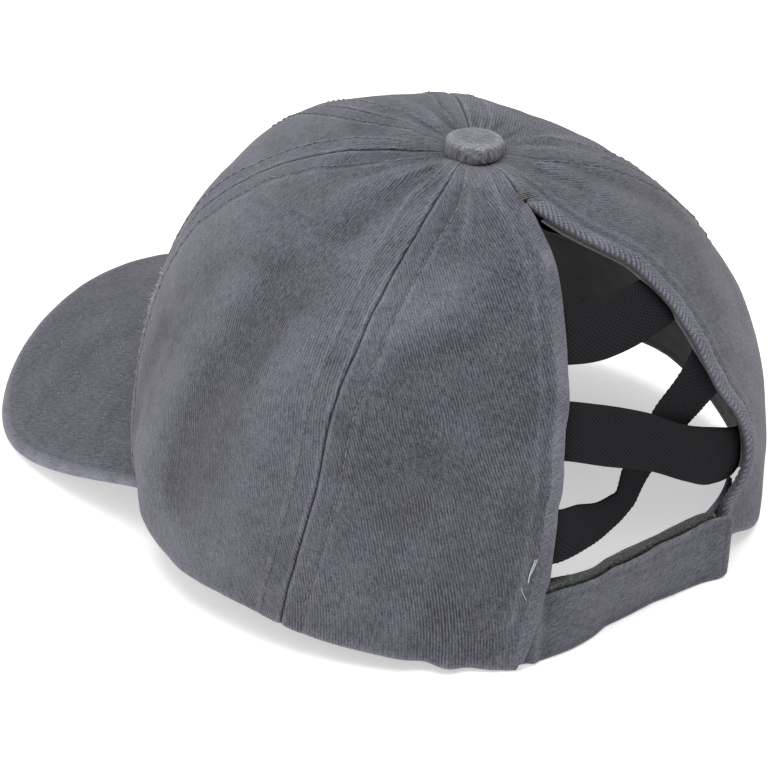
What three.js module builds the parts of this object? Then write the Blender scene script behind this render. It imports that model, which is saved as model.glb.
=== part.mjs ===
// Ponytail baseball cap, lengths in millimetres, angles in degrees.
// +Z is up, the visor points to -Y and the wearer's left side is +X.
// Angles around the crown run from the front (0) over the left side (90) to the back (180).
// A share of a panel's length is 0 at the button and 1 at the rim.
// The origin is the middle of the cap's footprint, on the surface that it rests on.
import * as THREE from "three";

// Driving dimensions
const rimHalfLength = 93; // rim ellipse, front to back
const rimHalfWidth = 87.4; // rim ellipse, side to side
const crownHeight = 105.9; // rim plane to the top of the crown
const topSetback = 3.75; // top of the crown, back from the rim's centre
const clothThickness = 1.8;
const seamGap = 0.3; // between sewn neighbours
const seamDip = 0.7; // groove along a seam
const seamRise = 0.4; // raised strip beside a seam, over the folded allowance
const seamReach = 7; // from a seam to the end of its raised strip
const hemRise = 0.5; // extra thickness of the hem along the opening
const hemWidth = 4;
const foldDepth = 1.7; // unit of the height column in `folds`
const foldWidth = 7; // unit of the width column in `folds`

const buttonDiameter = 16;
const buttonHeight = 3.8;
const buttonTilt = 10; // leans to the front right
const shankDiameter = 4;
const shankLength = 3.4;
const topHoleRadius = 3.5; // where the panels' points end

const visorAngle = 61.55; // rim angle of the visor's corners
const visorReach = 113.2; // corners to the foremost edge
const visorThickness = 2.8;
const visorArch = 26.6; // height of the middle over the corners
const visorDip = 33.6; // drop of the slope over the whole reach
const visorCurl = 11; // extra drop towards the foremost edge
const visorFlare = 5.8; // how far the sides swing out past the corners
const visorSquareness = 0.669; // 1 is round, less is squarer
const visorCornerShare = 0.5; // thickness left at the corners
const visorSideDrop = 0.467; // how much more the sides arch down at the foremost edge
const visorSeatShare = 0.54; // share of the visor's thickness that lies under the crown's edge
const rimBlend = 3; // degrees behind the visor's corners where the rim comes down to its plane
const rimDrop = 1; // the side and back panels' hem hangs this far under the rim plane
const rimWave = 3.5; // unit of the lift column in `rimWaves`

const sweatbandHeight = 28;
const sweatbandThickness = 1;
const sweatbandEnd = 138; // rim angle of its two ends
const sweatbandGap = 0.9;

const tapeWidth = 9;
const tapeThickness = 0.8;
const tapeOverlook = 0.5; // how far the tape looks out past the hem
const tapeGap = 0.6;

const bandThickness = 1.2;
const bandSlack = 10; // unit of the depth columns in the band tables

const strapHeight = 22;
const strapThickness = 1.6;
const strapBow = 8.6; // how far the strap's middle lies inside the rim ellipse
const loopThickness = 1;
const loopStandUp = 3.8; // how far the loop tape shows over the outer strap at its left end
const loopTilt = 1.9; // how much less it shows at its right end
const layerGap = 0.4; // between two layers of cloth

const cornerTuck = 4.6; // the right panel's lower corner turns in behind the strap
const cornerLift = 7; // and rises off the rim line

// Tables
// Squareness of the crown's sections: mean, front to back difference, two-fold part.
const sectionPower = { mean: 2.327, frontBack: -0.187, twoFold: 0.174 };
const rimSteepness = { mean: 89.57, frontBack: 0.334 };

// Drift of a seam along its length, in degrees from its own angle.
const middleSeam = [
  { share: 0, drift: 6 },
  { share: 0.25, drift: 4 },
  { share: 0.5, drift: 0 },
  { share: 1, drift: 0 },
];
const frontSeam = [
  { share: 0, drift: 0 },
  { share: 0.25, drift: -2.4 },
  { share: 0.4, drift: -3.4 },
  { share: 0.55, drift: -3.2 },
  { share: 0.68, drift: -2 },
  { share: 0.8, drift: 1.5 },
  { share: 0.9, drift: 6.5 },
  { share: 1, drift: 13 },
];
const sideSeam = [
  { share: 0, drift: -1 },
  { share: 0.2, drift: 1.6 },
  { share: 0.36, drift: 0.9 },
  { share: 0.48, drift: -0.2 },
  { share: 0.62, drift: -1.2 },
  { share: 0.74, drift: -0.7 },
  { share: 0.84, drift: -1.7 },
  { share: 1, drift: -4.7 },
];
const frontSeamAngle = 41;
const sideSeamAngle = 111.4;
const slitShare = 0.108; // where the opening begins

// Where the worn rim stands up off its plane.
const rimWaves = [
  { angle: 67, lift: 0 },
  { angle: 77, lift: -0.48 },
  { angle: 88, lift: -0.2 },
  { angle: 95, lift: 0.24 },
  { angle: 102, lift: 0.45 },
  { angle: 112, lift: 0.33 },
  { angle: 124, lift: 0.43 },
  { angle: 132, lift: 0.25 },
  { angle: 140, lift: -0.05 },
  { angle: 146, lift: 0 },
  { angle: 240, lift: 0 },
  { angle: 256, lift: 0.6 },
  { angle: 266, lift: 1 },
  { angle: 276, lift: 0.5 },
  { angle: 292, lift: 0 },
];

// The opening's two edges: rim angles along the panels.
const openingLeft = [
  { share: 0, angle: 173 },
  { share: 0.1, angle: 173 },
  { share: 0.18, angle: 169.2 },
  { share: 0.27, angle: 166.1 },
  { share: 0.35, angle: 163.4 },
  { share: 0.5, angle: 159.7 },
  { share: 0.56, angle: 158.8 },
  { share: 0.63, angle: 157.1 },
  { share: 0.7, angle: 156.2 },
  { share: 0.79, angle: 154.6 },
  { share: 0.88, angle: 153.4 },
  { share: 0.96, angle: 151.3 },
  { share: 1, angle: 149.4 },
];
const openingRight = [
  { share: 0, angle: 173 },
  { share: 0.1, angle: 173 },
  { share: 0.19, angle: 178.4 },
  { share: 0.27, angle: 185.6 },
  { share: 0.35, angle: 191.6 },
  { share: 0.44, angle: 193.6 },
  { share: 0.52, angle: 194.9 },
  { share: 0.61, angle: 195.9 },
  { share: 0.68, angle: 197.9 },
  { share: 0.78, angle: 203.5 },
  { share: 0.82, angle: 204.4 },
  { share: 0.87, angle: 202.6 },
  { share: 0.93, angle: 198.6 },
  { share: 1, angle: 197 },
];

// Soft ridges (+) and valleys (-) of the worn cloth: ends on the crown, width and height.
const folds = [
  { a0: 100, s0: 0.05, a1: 172, s1: 0.05, width: 0.6, height: 1.1 },
  { a0: 84.7, s0: 0.46, a1: 78.5, s1: 0.9, width: 1.3, height: -0.95 },
  { a0: 74, s0: 0.52, a1: 69, s1: 0.97, width: 1.2, height: 0.5 },
  { a0: 66, s0: 0.94, a1: 82, s1: 0.97, width: 1.5, height: 1.1 },
  { a0: 96, s0: 0.5, a1: 95, s1: 0.95, width: 1.4, height: 0.45 },
  { a0: 58, s0: 0.72, a1: 56, s1: 0.9, width: 0.9, height: -0.7 },
  { a0: 19, s0: 0.06, a1: 33, s1: 0.21, width: 0.5, height: 0.4 },
  { a0: 56, s0: 0.05, a1: 50, s1: 0.24, width: 0.5, height: -0.4 },
  { a0: 72, s0: 0.06, a1: 67, s1: 0.25, width: 0.6, height: 0.5 },
  { a0: 89, s0: 0.06, a1: 86, s1: 0.3, width: 0.7, height: -0.4 },
  { a0: 100, s0: 0.1, a1: 99, s1: 0.36, width: 0.7, height: 0.3 },
  { a0: 118, s0: 0.42, a1: 136, s1: 0.31, width: 1.2, height: 0.6 },
  { a0: 123, s0: 0.66, a1: 125, s1: 0.7, width: 1.6, height: -0.8 },
  { a0: 128, s0: 0.48, a1: 131, s1: 0.5, width: 1.5, height: -0.55 },
  { a0: 144, s0: 0.3, a1: 149, s1: 0.55, width: 1.3, height: -0.4 },
  { a0: 137.1, s0: 0.9, a1: 132.8, s1: 1, width: 0.6, height: -0.7 },
  { a0: 140.6, s0: 0.93, a1: 136.6, s1: 1, width: 0.5, height: 0.45 },
  { a0: 144.3, s0: 0.87, a1: 140.1, s1: 1, width: 0.6, height: -0.8 },
  { a0: 152, s0: 0.765, a1: 146, s1: 0.763, width: 0.5, height: -0.5 },
  { a0: 228, s0: 0.35, a1: 224, s1: 0.62, width: 1.3, height: -0.5 },
  { a0: 236, s0: 0.68, a1: 230, s1: 0.93, width: 1.7, height: 0.6 },
  { a0: 214, s0: 0.16, a1: 220, s1: 0.38, width: 0.7, height: 0.3 },
  { a0: 226, s0: 0.18, a1: 232, s1: 0.4, width: 0.7, height: -0.5 },
  { a0: 4, s0: 0.5, a1: 30, s1: 0.56, width: 4, height: 1.25 },
  { a0: 262, s0: 0.42, a1: 268, s1: 0.88, width: 1.4, height: -0.7 },
  { a0: 284, s0: 0.5, a1: 288, s1: 0.95, width: 1.2, height: 0.5 },
  { a0: 300, s0: 0.7, a1: 304, s1: 1, width: 0.9, height: -0.5 },
  { a0: 312, s0: 0.22, a1: 322, s1: 0.55, width: 1.3, height: 0.45 },
  { a0: 342, s0: 0.35, a1: 350, s1: 0.72, width: 1.6, height: -0.4 },
  { a0: 22, s0: 0.4, a1: 14, s1: 0.75, width: 1.6, height: -0.4 },
];

// The elastic bands: both edges on the crown, and how deep each lies inside it.
const bandTopPath = [
  { upAngle: 158, upShare: 0.352, upDepth: 0, lowAngle: 155, lowShare: 0.478, lowDepth: 0 },
  { upAngle: 164, upShare: 0.353, upDepth: 0, lowAngle: 160.7, lowShare: 0.486, lowDepth: 0 },
  { upAngle: 175.9, upShare: 0.358, upDepth: 0.13, lowAngle: 172.5, lowShare: 0.496, lowDepth: 0.18 },
  { upAngle: 186.4, upShare: 0.365, upDepth: 0.13, lowAngle: 186, lowShare: 0.495, lowDepth: 0.18 },
  { upAngle: 195, upShare: 0.375, upDepth: 0, lowAngle: 198, lowShare: 0.497, lowDepth: 0 },
  { upAngle: 203, upShare: 0.38, upDepth: 0, lowAngle: 204, lowShare: 0.5, lowDepth: 0 },
];
const bandFrontPath = [
  { upAngle: 153.5, upShare: 0.55, upDepth: 0, lowAngle: 151.5, lowShare: 0.668, lowDepth: 0 },
  { upAngle: 159.6, upShare: 0.562, upDepth: 0, lowAngle: 157.8, lowShare: 0.681, lowDepth: 0 },
  { upAngle: 169.5, upShare: 0.595, upDepth: 0.35, lowAngle: 167.2, lowShare: 0.72, lowDepth: 0.35 },
  { upAngle: 181, upShare: 0.651, upDepth: 0.52, lowAngle: 178.6, lowShare: 0.768, lowDepth: 0.52 },
  { upAngle: 189.8, upShare: 0.712, upDepth: 0.4, lowAngle: 188, lowShare: 0.822, lowDepth: 0.4 },
  { upAngle: 199, upShare: 0.76, upDepth: 0.22, lowAngle: 196.5, lowShare: 0.866, lowDepth: 0.22 },
  { upAngle: 208, upShare: 0.8, upDepth: 0, lowAngle: 204.5, lowShare: 0.893, lowDepth: 0 },
  { upAngle: 213, upShare: 0.806, upDepth: 0, lowAngle: 210, lowShare: 0.884, lowDepth: 0 },
];
const bandBackPath = [
  { upAngle: 149.5, upShare: 0.768, upDepth: 0, lowAngle: 149.5, lowShare: 0.864, lowDepth: 0 },
  { upAngle: 155.2, upShare: 0.77, upDepth: 0, lowAngle: 154.7, lowShare: 0.866, lowDepth: 0 },
  { upAngle: 160.9, upShare: 0.785, upDepth: 0.5, lowAngle: 163.5, lowShare: 0.867, lowDepth: 0.45 },
  { upAngle: 167.8, upShare: 0.807, upDepth: 0.92, lowAngle: 171.3, lowShare: 0.862, lowDepth: 0.85 },
  { upAngle: 172.8, upShare: 0.81, upDepth: 1.1, lowAngle: 177, lowShare: 0.848, lowDepth: 1.02 },
  { upAngle: 175.3, upShare: 0.764, upDepth: 1.05, lowAngle: 181.2, lowShare: 0.815, lowDepth: 1.05 },
  { upAngle: 179.6, upShare: 0.712, upDepth: 0.92, lowAngle: 187.5, lowShare: 0.774, lowDepth: 0.95 },
  { upAngle: 185.6, upShare: 0.662, upDepth: 0.78, lowAngle: 194.3, lowShare: 0.742, lowDepth: 0.72 },
  { upAngle: 192.6, upShare: 0.613, upDepth: 0.35, lowAngle: 198.6, lowShare: 0.714, lowDepth: 0.35 },
  { upAngle: 198.3, upShare: 0.57, upDepth: 0, lowAngle: 201.5, lowShare: 0.688, lowDepth: 0 },
  { upAngle: 203.5, upShare: 0.545, upDepth: 0, lowAngle: 206, lowShare: 0.66, lowDepth: 0 },
];

// Plan of the closed strap: how far its outer face lies inside the crown's wall, and how far its
// upper edge leans out, both in shares of strapBow.
const strapPlan = [
  { angle: 140, inside: 0, lean: -0.1 },
  { angle: 152, inside: 0.02, lean: -0.1 },
  { angle: 156, inside: 0.16, lean: -0.1 },
  { angle: 160, inside: 0.32, lean: 0.02 },
  { angle: 165, inside: 0.62, lean: 0.2 },
  { angle: 170, inside: 0.94, lean: 0.27 },
  { angle: 180.5, inside: 1, lean: 0.26 },
  { angle: 187, inside: 0.78, lean: 0.16 },
  { angle: 192.4, inside: 0.49, lean: 0.05 },
  { angle: 195, inside: 0.27, lean: 0 },
  { angle: 197, inside: 0.12, lean: 0 },
  { angle: 199, inside: 0.1, lean: 0 },
  { angle: 212, inside: 0.1, lean: -0.12 },
];
const strapOuterFrom = 146.5; // its two ends, as rim angles
const strapOuterTo = 198.3;
const strapFreeFrom = 194; // from here on it lies outside the right panel
const strapInnerFrom = 148;
const strapInnerTo = 211;
const loopFrom = 150;
const loopTo = 196;

// Small helpers
const rad = THREE.MathUtils.degToRad;
const deg = THREE.MathUtils.radToDeg;
const smooth = THREE.MathUtils.smoothstep;

// Reads a table by its key column with a smooth curve through the rows.
function readTable(rows, key, column, at) {
  if (at <= rows[0][key]) return rows[0][column];
  const last = rows.length - 1;
  if (at >= rows[last][key]) return rows[last][column];
  let i = 0;
  while (rows[i + 1][key] < at) i += 1;
  const slope = (k) => {
    if (k < 0 || k >= last) return null;
    return (rows[k + 1][column] - rows[k][column]) / (rows[k + 1][key] - rows[k][key]);
  };
  const here = slope(i);
  const ease = (other) => {
    if (other === null) return here;
    if (other * here <= 0) return 0;
    return (2 * other * here) / (other + here);
  };
  const span = rows[i + 1][key] - rows[i][key];
  const u = (at - rows[i][key]) / span;
  const m0 = ease(slope(i - 1)) * span;
  const m1 = ease(slope(i + 1)) * span;
  const u2 = u * u;
  const u3 = u2 * u;
  const y0 = rows[i][column];
  const y1 = rows[i + 1][column];
  const level = (2 * u3 - 3 * u2 + 1) * y0 + (3 * u2 - 2 * u3) * y1;
  return level + (u3 - 2 * u2 + u) * m0 + (u3 - u2) * m1;
}

// Height of the visor's middle surface over the rim plane.
const cornerX = rimHalfWidth * Math.sin(rad(visorAngle));
const cornerY = -rimHalfLength * Math.cos(rad(visorAngle));
function visorHeight(x, y) {
  const forward = (cornerY - y) / visorReach;
  const across = (x / cornerX) ** 2 * (1 + visorSideDrop * forward);
  return visorArch * (1 - across) - visorDip * forward - visorCurl * forward * forward;
}

// How thick the visor is, from its middle (0) to its corners (1).
function visorTaper(across) {
  return 1 - (1 - visorCornerShare) * smooth(across, 0.82, 1);
}

// The rim: an ellipse that rises over the visor's arch at the front.
function rimPoint(angle) {
  const x = rimHalfWidth * Math.sin(rad(angle));
  const y = -rimHalfLength * Math.cos(rad(angle));
  const fromFront = Math.abs(deg(Math.atan2(Math.sin(rad(angle)), Math.cos(rad(angle)))));
  const turned = THREE.MathUtils.euclideanModulo(angle, 360);
  const wave = rimWave * readTable(rimWaves, "angle", "lift", turned);
  if (fromFront > visorAngle + rimBlend) return new THREE.Vector3(x, y, wave);
  const over = rad(Math.min(fromFront, visorAngle));
  const insideX = (rimHalfWidth - clothThickness) * Math.sin(over);
  const insideY = -(rimHalfLength - clothThickness) * Math.cos(over);
  const thin = visorTaper(Math.min(fromFront / visorAngle, 1));
  const seat = visorHeight(insideX, insideY) + visorSeatShare * visorThickness * thin + seamGap;
  const share = 1 - smooth(fromFront, visorAngle, visorAngle + rimBlend);
  return new THREE.Vector3(x, y, share * seat + wave);
}

// A power that keeps the sign: past 90 degrees of steepness the wall draws in again towards the rim.
function signedPower(value, power) {
  return Math.sign(value) * Math.abs(value) ** power;
}

// The crown's outer surface without folds.
function crownPoint(angle, share) {
  const rim = rimPoint(angle);
  const c1 = Math.cos(rad(angle));
  const c2 = Math.cos(rad(2 * angle));
  const power = 2 / (sectionPower.mean + sectionPower.frontBack * c1 + sectionPower.twoFold * c2);
  const steep = rad(rimSteepness.mean + rimSteepness.frontBack * c1);
  const turn = Math.max(share, 1e-4) * steep;
  const out = (Math.sin(turn) / Math.sin(steep)) ** power;
  const foot = signedPower(Math.cos(steep), power);
  const up = (signedPower(Math.cos(turn), power) - foot) / (1 - foot);
  return new THREE.Vector3(
    rim.x * out,
    topSetback + (rim.y - topSetback) * out,
    rim.z + (crownHeight - rim.z) * up,
  );
}

function crownNormal(angle, share) {
  const s = Math.min(Math.max(share, 0.012), 0.995);
  const around = crownPoint(angle + 0.5, s).sub(crownPoint(angle - 0.5, s));
  const down = crownPoint(angle, s + 0.004).sub(crownPoint(angle, s - 0.004));
  return down.cross(around).normalize();
}

// Length of a panel from the button to the rim, and its radius at a share.
const panelLength = (() => {
  let sum = 0;
  for (let i = 0; i < 40; i += 1) sum += crownPoint(90, i / 40).distanceTo(crownPoint(90, (i + 1) / 40));
  return sum;
})();
function radiusAt(angle, share) {
  const p = crownPoint(angle, share);
  return Math.hypot(p.x, p.y - topSetback);
}

// Height of the folds at a place on the crown.
function foldHeight(angle, share) {
  const radius = rimHalfWidth * Math.sin(rad(Math.min(share, 1) * 90)) ** 0.86;
  let sum = 0;
  for (const f of folds) {
    const px = rad(THREE.MathUtils.euclideanModulo(angle - f.a0 + 180, 360) - 180) * radius;
    const py = (share - f.s0) * panelLength;
    const dx = rad(f.a1 - f.a0) * radius;
    const dy = (f.s1 - f.s0) * panelLength;
    const along = THREE.MathUtils.clamp((px * dx + py * dy) / (dx * dx + dy * dy), 0, 1);
    const far = Math.hypot(px - along * dx, py - along * dy) / (f.width * foldWidth);
    sum += f.height * foldDepth * Math.exp(-far * far);
  }
  return sum;
}

// The right panel's lower corner, turned in and lifted beside the strap's free end.
function cornerShare(angle, share) {
  const around = THREE.MathUtils.euclideanModulo(angle, 360);
  return smooth(around, 180, 190) * (1 - smooth(around, 202, 218)) * smooth(share, 0.84, 0.97);
}

// A point of the worn crown, `height` millimetres outside its outer face.
function skin(angle, share, height) {
  const corner = cornerShare(angle, share);
  const p = crownPoint(angle, share);
  const n = crownNormal(angle, share);
  p.addScaledVector(n, height + foldHeight(angle, share));
  p.addScaledVector(new THREE.Vector3(n.x, n.y, 0), -cornerTuck * corner);
  p.z += cornerLift * corner;
  const side = Math.abs(THREE.MathUtils.euclideanModulo(angle + 180, 360) - 180);
  p.z -= rimDrop * smooth(side, visorAngle + 2, visorAngle + 10) * smooth(share, 0.94, 1) * (1 - corner);
  return p;
}

// A closed sheet between two grids of points, outer and inner, with shared vertices.
function sheetGeometry(outer, inner) {
  const rows = outer.length;
  const cols = outer[0].length;
  const positions = [];
  for (const grid of [outer, inner]) {
    for (const row of grid) {
      for (const p of row) positions.push(p.x, p.y, p.z);
    }
  }
  const at = (layer, i, j) => layer * rows * cols + i * cols + j;
  const index = [];
  const quad = (a, b, c, d) => index.push(a, b, c, a, c, d);
  for (let i = 0; i < rows - 1; i += 1) {
    for (let j = 0; j < cols - 1; j += 1) {
      quad(at(0, i, j), at(0, i + 1, j), at(0, i + 1, j + 1), at(0, i, j + 1));
      quad(at(1, i, j), at(1, i, j + 1), at(1, i + 1, j + 1), at(1, i + 1, j));
    }
  }
  for (let i = 0; i < rows - 1; i += 1) {
    quad(at(0, i, 0), at(1, i, 0), at(1, i + 1, 0), at(0, i + 1, 0));
    quad(at(0, i, cols - 1), at(0, i + 1, cols - 1), at(1, i + 1, cols - 1), at(1, i, cols - 1));
  }
  for (let j = 0; j < cols - 1; j += 1) {
    quad(at(0, 0, j), at(0, 0, j + 1), at(1, 0, j + 1), at(1, 0, j));
    quad(at(0, rows - 1, j), at(1, rows - 1, j), at(1, rows - 1, j + 1), at(0, rows - 1, j + 1));
  }
  const geometry = new THREE.BufferGeometry();
  geometry.setAttribute("position", new THREE.Float32BufferAttribute(positions, 3));
  geometry.setIndex(index);
  geometry.computeVertexNormals();
  return geometry;
}

// Materials
const twill = new THREE.MeshStandardMaterial({ color: 0x5f5f67, roughness: 0.95, metalness: 0 });
const elastic = new THREE.MeshStandardMaterial({ color: 0x2d2b2f, roughness: 0.9, metalness: 0 });
const satin = new THREE.MeshStandardMaterial({ color: 0x2c2c2f, roughness: 0.6, metalness: 0 });
const facing = new THREE.MeshStandardMaterial({ color: 0x6c6d72, roughness: 0.9, metalness: 0 });
const pile = new THREE.MeshStandardMaterial({ color: 0x4b504c, roughness: 1, metalness: 0 });

const cap = new THREE.Group();
function addPiece(name, geometry, material) {
  const mesh = new THREE.Mesh(geometry, material);
  mesh.name = name;
  cap.add(mesh);
  return mesh;
}

// Crown panels
// Each edge gives its rim angle and how much of it is hem instead of seam at a share.
function seamEdge(angle, table, side) {
  return {
    angle: (share) => {
      const middle = angle + readTable(table, "share", "drift", share);
      return middle + side * deg(seamGap / 2 / radiusAt(middle, share));
    },
    hem: () => 0,
  };
}
function openingEdge(table, side) {
  return {
    angle: (share) => {
      const edge = readTable(table, "share", "angle", share);
      return edge + side * deg(seamGap / 2 / radiusAt(edge, share));
    },
    hem: (share) => smooth(share, slitShare - 0.02, slitShare + 0.03),
  };
}

// Height of the cloth beside an edge: a groove and a raised strip at a seam, a thick fold at a hem.
function edgeHeight(distance, scale, hem) {
  const d = distance / scale;
  const dip = -seamDip * (1 - smooth(d, 0, 1.2));
  const rise = seamRise * smooth(d, 0.8, 3.2) * (1 - smooth(d, 4.5, seamReach));
  const roll = hemRise * smooth(d, -0.6, 1) * (1 - smooth(d, hemWidth, hemWidth + 1.6));
  return scale * ((1 - hem) * (dip + rise) + hem * roll);
}

// Shares of a panel's length with a row of corners.
const panelRows = [
  0, 0.03, 0.07, 0.115, 0.165, 0.22, 0.28, 0.34, 0.4, 0.46,
  0.52, 0.58, 0.64, 0.7, 0.76, 0.82, 0.875, 0.93, 0.975, 1,
];
const edgeSteps = [0, 0.17, 0.5, 1]; // shares of seamReach

function panelGeometry(from, to, middleSteps) {
  const holeShare = topHoleRadius / rimHalfWidth;
  const topShare = holeShare ** (sectionPower.mean / 2) / rad(rimSteepness.mean);
  const outer = [];
  const inner = [];
  for (const row of panelRows) {
    const share = topShare + (1 - topShare) * row;
    const a0 = from.angle(share);
    const a1 = to.angle(share);
    const width = rad(a1 - a0) * radiusAt((a0 + a1) / 2, share);
    const scale = Math.min(1, width / (seamReach * 3.4));
    const places = edgeSteps.map((s) => s * seamReach * scale);
    const first = seamReach * scale;
    const last = width - first;
    for (let k = 1; k < middleSteps; k += 1) places.push(first + ((last - first) * k) / middleSteps);
    for (const s of [...edgeSteps].reverse()) places.push(width - s * seamReach * scale);
    const outerRow = [];
    const innerRow = [];
    places.forEach((place, k) => {
      const angle = a0 + ((a1 - a0) * place) / width;
      const nearFrom = edgeHeight(place, scale, from.hem(share));
      const high = nearFrom + edgeHeight(width - place, scale, to.hem(share));
      const end = k === 0 || k === places.length - 1;
      const hem = k === 0 ? from.hem(share) : to.hem(share);
      const bottom = row === 1 ? 0.25 * clothThickness : 0;
      const round = end ? 0.3 * clothThickness * hem : 0;
      outerRow.push(skin(angle, share, high - round - bottom));
      innerRow.push(skin(angle, share, -clothThickness + round + bottom));
    });
    outer.push(outerRow);
    inner.push(innerRow);
  }
  return sheetGeometry(outer, inner);
}

const mirrored = (table) => table.map((row) => ({ share: row.share, drift: -row.drift }));
const panels = [
  {
    name: "crown_front_left",
    from: seamEdge(0, middleSeam, 1),
    to: seamEdge(frontSeamAngle, frontSeam, -1),
    columns: 6,
  },
  {
    name: "crown_side_left",
    from: seamEdge(frontSeamAngle, frontSeam, 1),
    to: seamEdge(sideSeamAngle, sideSeam, -1),
    columns: 9,
  },
  {
    name: "crown_back_left",
    from: seamEdge(sideSeamAngle, sideSeam, 1),
    to: openingEdge(openingLeft, -1),
    columns: 5,
  },
  {
    name: "crown_back_right",
    from: openingEdge(openingRight, 1),
    to: seamEdge(360 - sideSeamAngle, mirrored(sideSeam), -1),
    columns: 5,
  },
  {
    name: "crown_side_right",
    from: seamEdge(360 - sideSeamAngle, mirrored(sideSeam), 1),
    to: seamEdge(360 - frontSeamAngle, mirrored(frontSeam), -1),
    columns: 9,
  },
  {
    name: "crown_front_right",
    from: seamEdge(360 - frontSeamAngle, mirrored(frontSeam), 1),
    to: seamEdge(360, middleSeam, -1),
    columns: 6,
  },
];
for (const panel of panels) {
  addPiece(panel.name, panelGeometry(panel.from, panel.to, panel.columns), twill);
}

// Visor
// A curved board between the rim and its own outer edge, rounded along that edge.
const visorSteps = 30;
const visorShares = [0, 0.06, 0.2, 0.36, 0.52, 0.68, 0.82, 0.93, 0.985, 1];
const visorOuter = [];
const visorInner = [];
for (let i = 0; i <= visorSteps; i += 1) {
  const across = 1 - (2 * i) / visorSteps;
  const eased = across * (1.3 - 0.3 * across * across);
  const angle = rad(Math.min(Math.max(eased, -0.975), 0.975) * visorAngle);
  const inX = (rimHalfWidth - clothThickness) * Math.sin(angle);
  const inY = -(rimHalfLength - clothThickness) * Math.cos(angle);
  const turn = (eased * Math.PI) / 2;
  const half = (visorThickness * visorTaper(Math.abs(eased))) / 2;
  const outX = (cornerX - half) * Math.sin(turn) + visorFlare * Math.sin(2 * turn);
  const outY = cornerY - (visorReach - half) * Math.abs(Math.cos(turn)) ** visorSquareness;
  const topRow = [];
  const underRow = [];
  for (const share of visorShares) {
    const x = inX + (outX - inX) * share;
    const y = inY + (outY - inY) * share;
    const step = 0.5;
    const slopeX = (visorHeight(x + step, y) - visorHeight(x - step, y)) / (2 * step);
    const slopeY = (visorHeight(x, y + step) - visorHeight(x, y - step)) / (2 * step);
    const normal = new THREE.Vector3(-slopeX, -slopeY, 1).normalize();
    const middle = new THREE.Vector3(x, y, visorHeight(x, y));
    const rim = share === 1 ? 0.4 : 1;
    topRow.push(middle.clone().addScaledVector(normal, half * rim));
    underRow.push(middle.clone().addScaledVector(normal, -half * rim));
  }
  visorOuter.push(topRow);
  visorInner.push(underRow);
}
addPiece("visor", sheetGeometry(visorOuter, visorInner), twill);

// Button
const buttonProfile = [
  [0, -shankLength],
  [shankDiameter / 2, -shankLength],
  [shankDiameter / 2, 0],
  [buttonDiameter * 0.42, 0],
  [buttonDiameter * 0.485, buttonHeight * 0.2],
  [buttonDiameter * 0.5, buttonHeight * 0.42],
  [buttonDiameter * 0.48, buttonHeight * 0.7],
  [buttonDiameter * 0.42, buttonHeight * 0.88],
  [buttonDiameter * 0.3, buttonHeight * 0.97],
  [0, buttonHeight],
].map(([r, z]) => new THREE.Vector2(r, z));
const buttonShape = new THREE.LatheGeometry(buttonProfile, 28);
buttonShape.rotateX(Math.PI / 2);
const button = addPiece("button", buttonShape, twill);
const lean = new THREE.Vector3(1, -1, 0).normalize();
button.quaternion.setFromAxisAngle(lean, rad(buttonTilt));

// Seats the button: its lowest rim point stays a layer's gap over the panels around it.
let seat = -Infinity;
for (let angle = 0; angle < 360; angle += 5) {
  for (const r of [0.3, 0.42, 0.5]) {
    const under = new THREE.Vector3(Math.sin(rad(angle)), -Math.cos(rad(angle)), 0);
    under.multiplyScalar(r * buttonDiameter).applyQuaternion(button.quaternion);
    const out = Math.hypot(under.x, under.y) / rimHalfWidth;
    const share = out ** (sectionPower.mean / 2) / rad(rimSteepness.mean);
    seat = Math.max(seat, skin(angle, share, layerGap + seamRise).z - under.z);
  }
}
button.position.set(0, topSetback, seat);

// Sweatband
const sweatbandOuter = [];
const sweatbandInner = [];
const sweatbandTop = 1 - sweatbandHeight / panelLength;
const sweatbandDepth = clothThickness + sweatbandGap;
for (const share of [sweatbandTop, (sweatbandTop * 2 + 0.99) / 3, (sweatbandTop + 0.99 * 2) / 3, 0.99]) {
  const outerRow = [];
  const innerRow = [];
  for (let k = 0; k <= 60; k += 1) {
    const angle = -sweatbandEnd + (2 * sweatbandEnd * k) / 60;
    outerRow.push(skin(angle, share, -sweatbandDepth));
    innerRow.push(skin(angle, share, -sweatbandDepth - sweatbandThickness));
  }
  sweatbandOuter.push(outerRow);
  sweatbandInner.push(innerRow);
}
addPiece("sweatband", sheetGeometry(sweatbandOuter, sweatbandInner), satin);

// Facing tapes of the opening
function tapeGeometry(edge, side) {
  const outer = [];
  const inner = [];
  const steps = 22;
  for (let i = 0; i <= steps; i += 1) {
    const share = 0.15 + ((0.865 - 0.15) * i) / steps;
    const outerRow = [];
    const innerRow = [];
    const radius = radiusAt(180, share);
    for (const place of side > 0 ? [0, 0.5, 1] : [1, 0.5, 0]) {
      const angle = edge.angle(share) + side * deg((-tapeOverlook + tapeWidth * place) / radius);
      outerRow.push(skin(angle, share, -clothThickness - tapeGap));
      innerRow.push(skin(angle, share, -clothThickness - tapeGap - tapeThickness));
    }
    outer.push(outerRow);
    inner.push(innerRow);
  }
  return sheetGeometry(outer, inner);
}
addPiece("opening_tape_left", tapeGeometry(openingEdge(openingLeft, -1), -1), facing);
addPiece("opening_tape_right", tapeGeometry(openingEdge(openingRight, 1), 1), facing);

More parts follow.
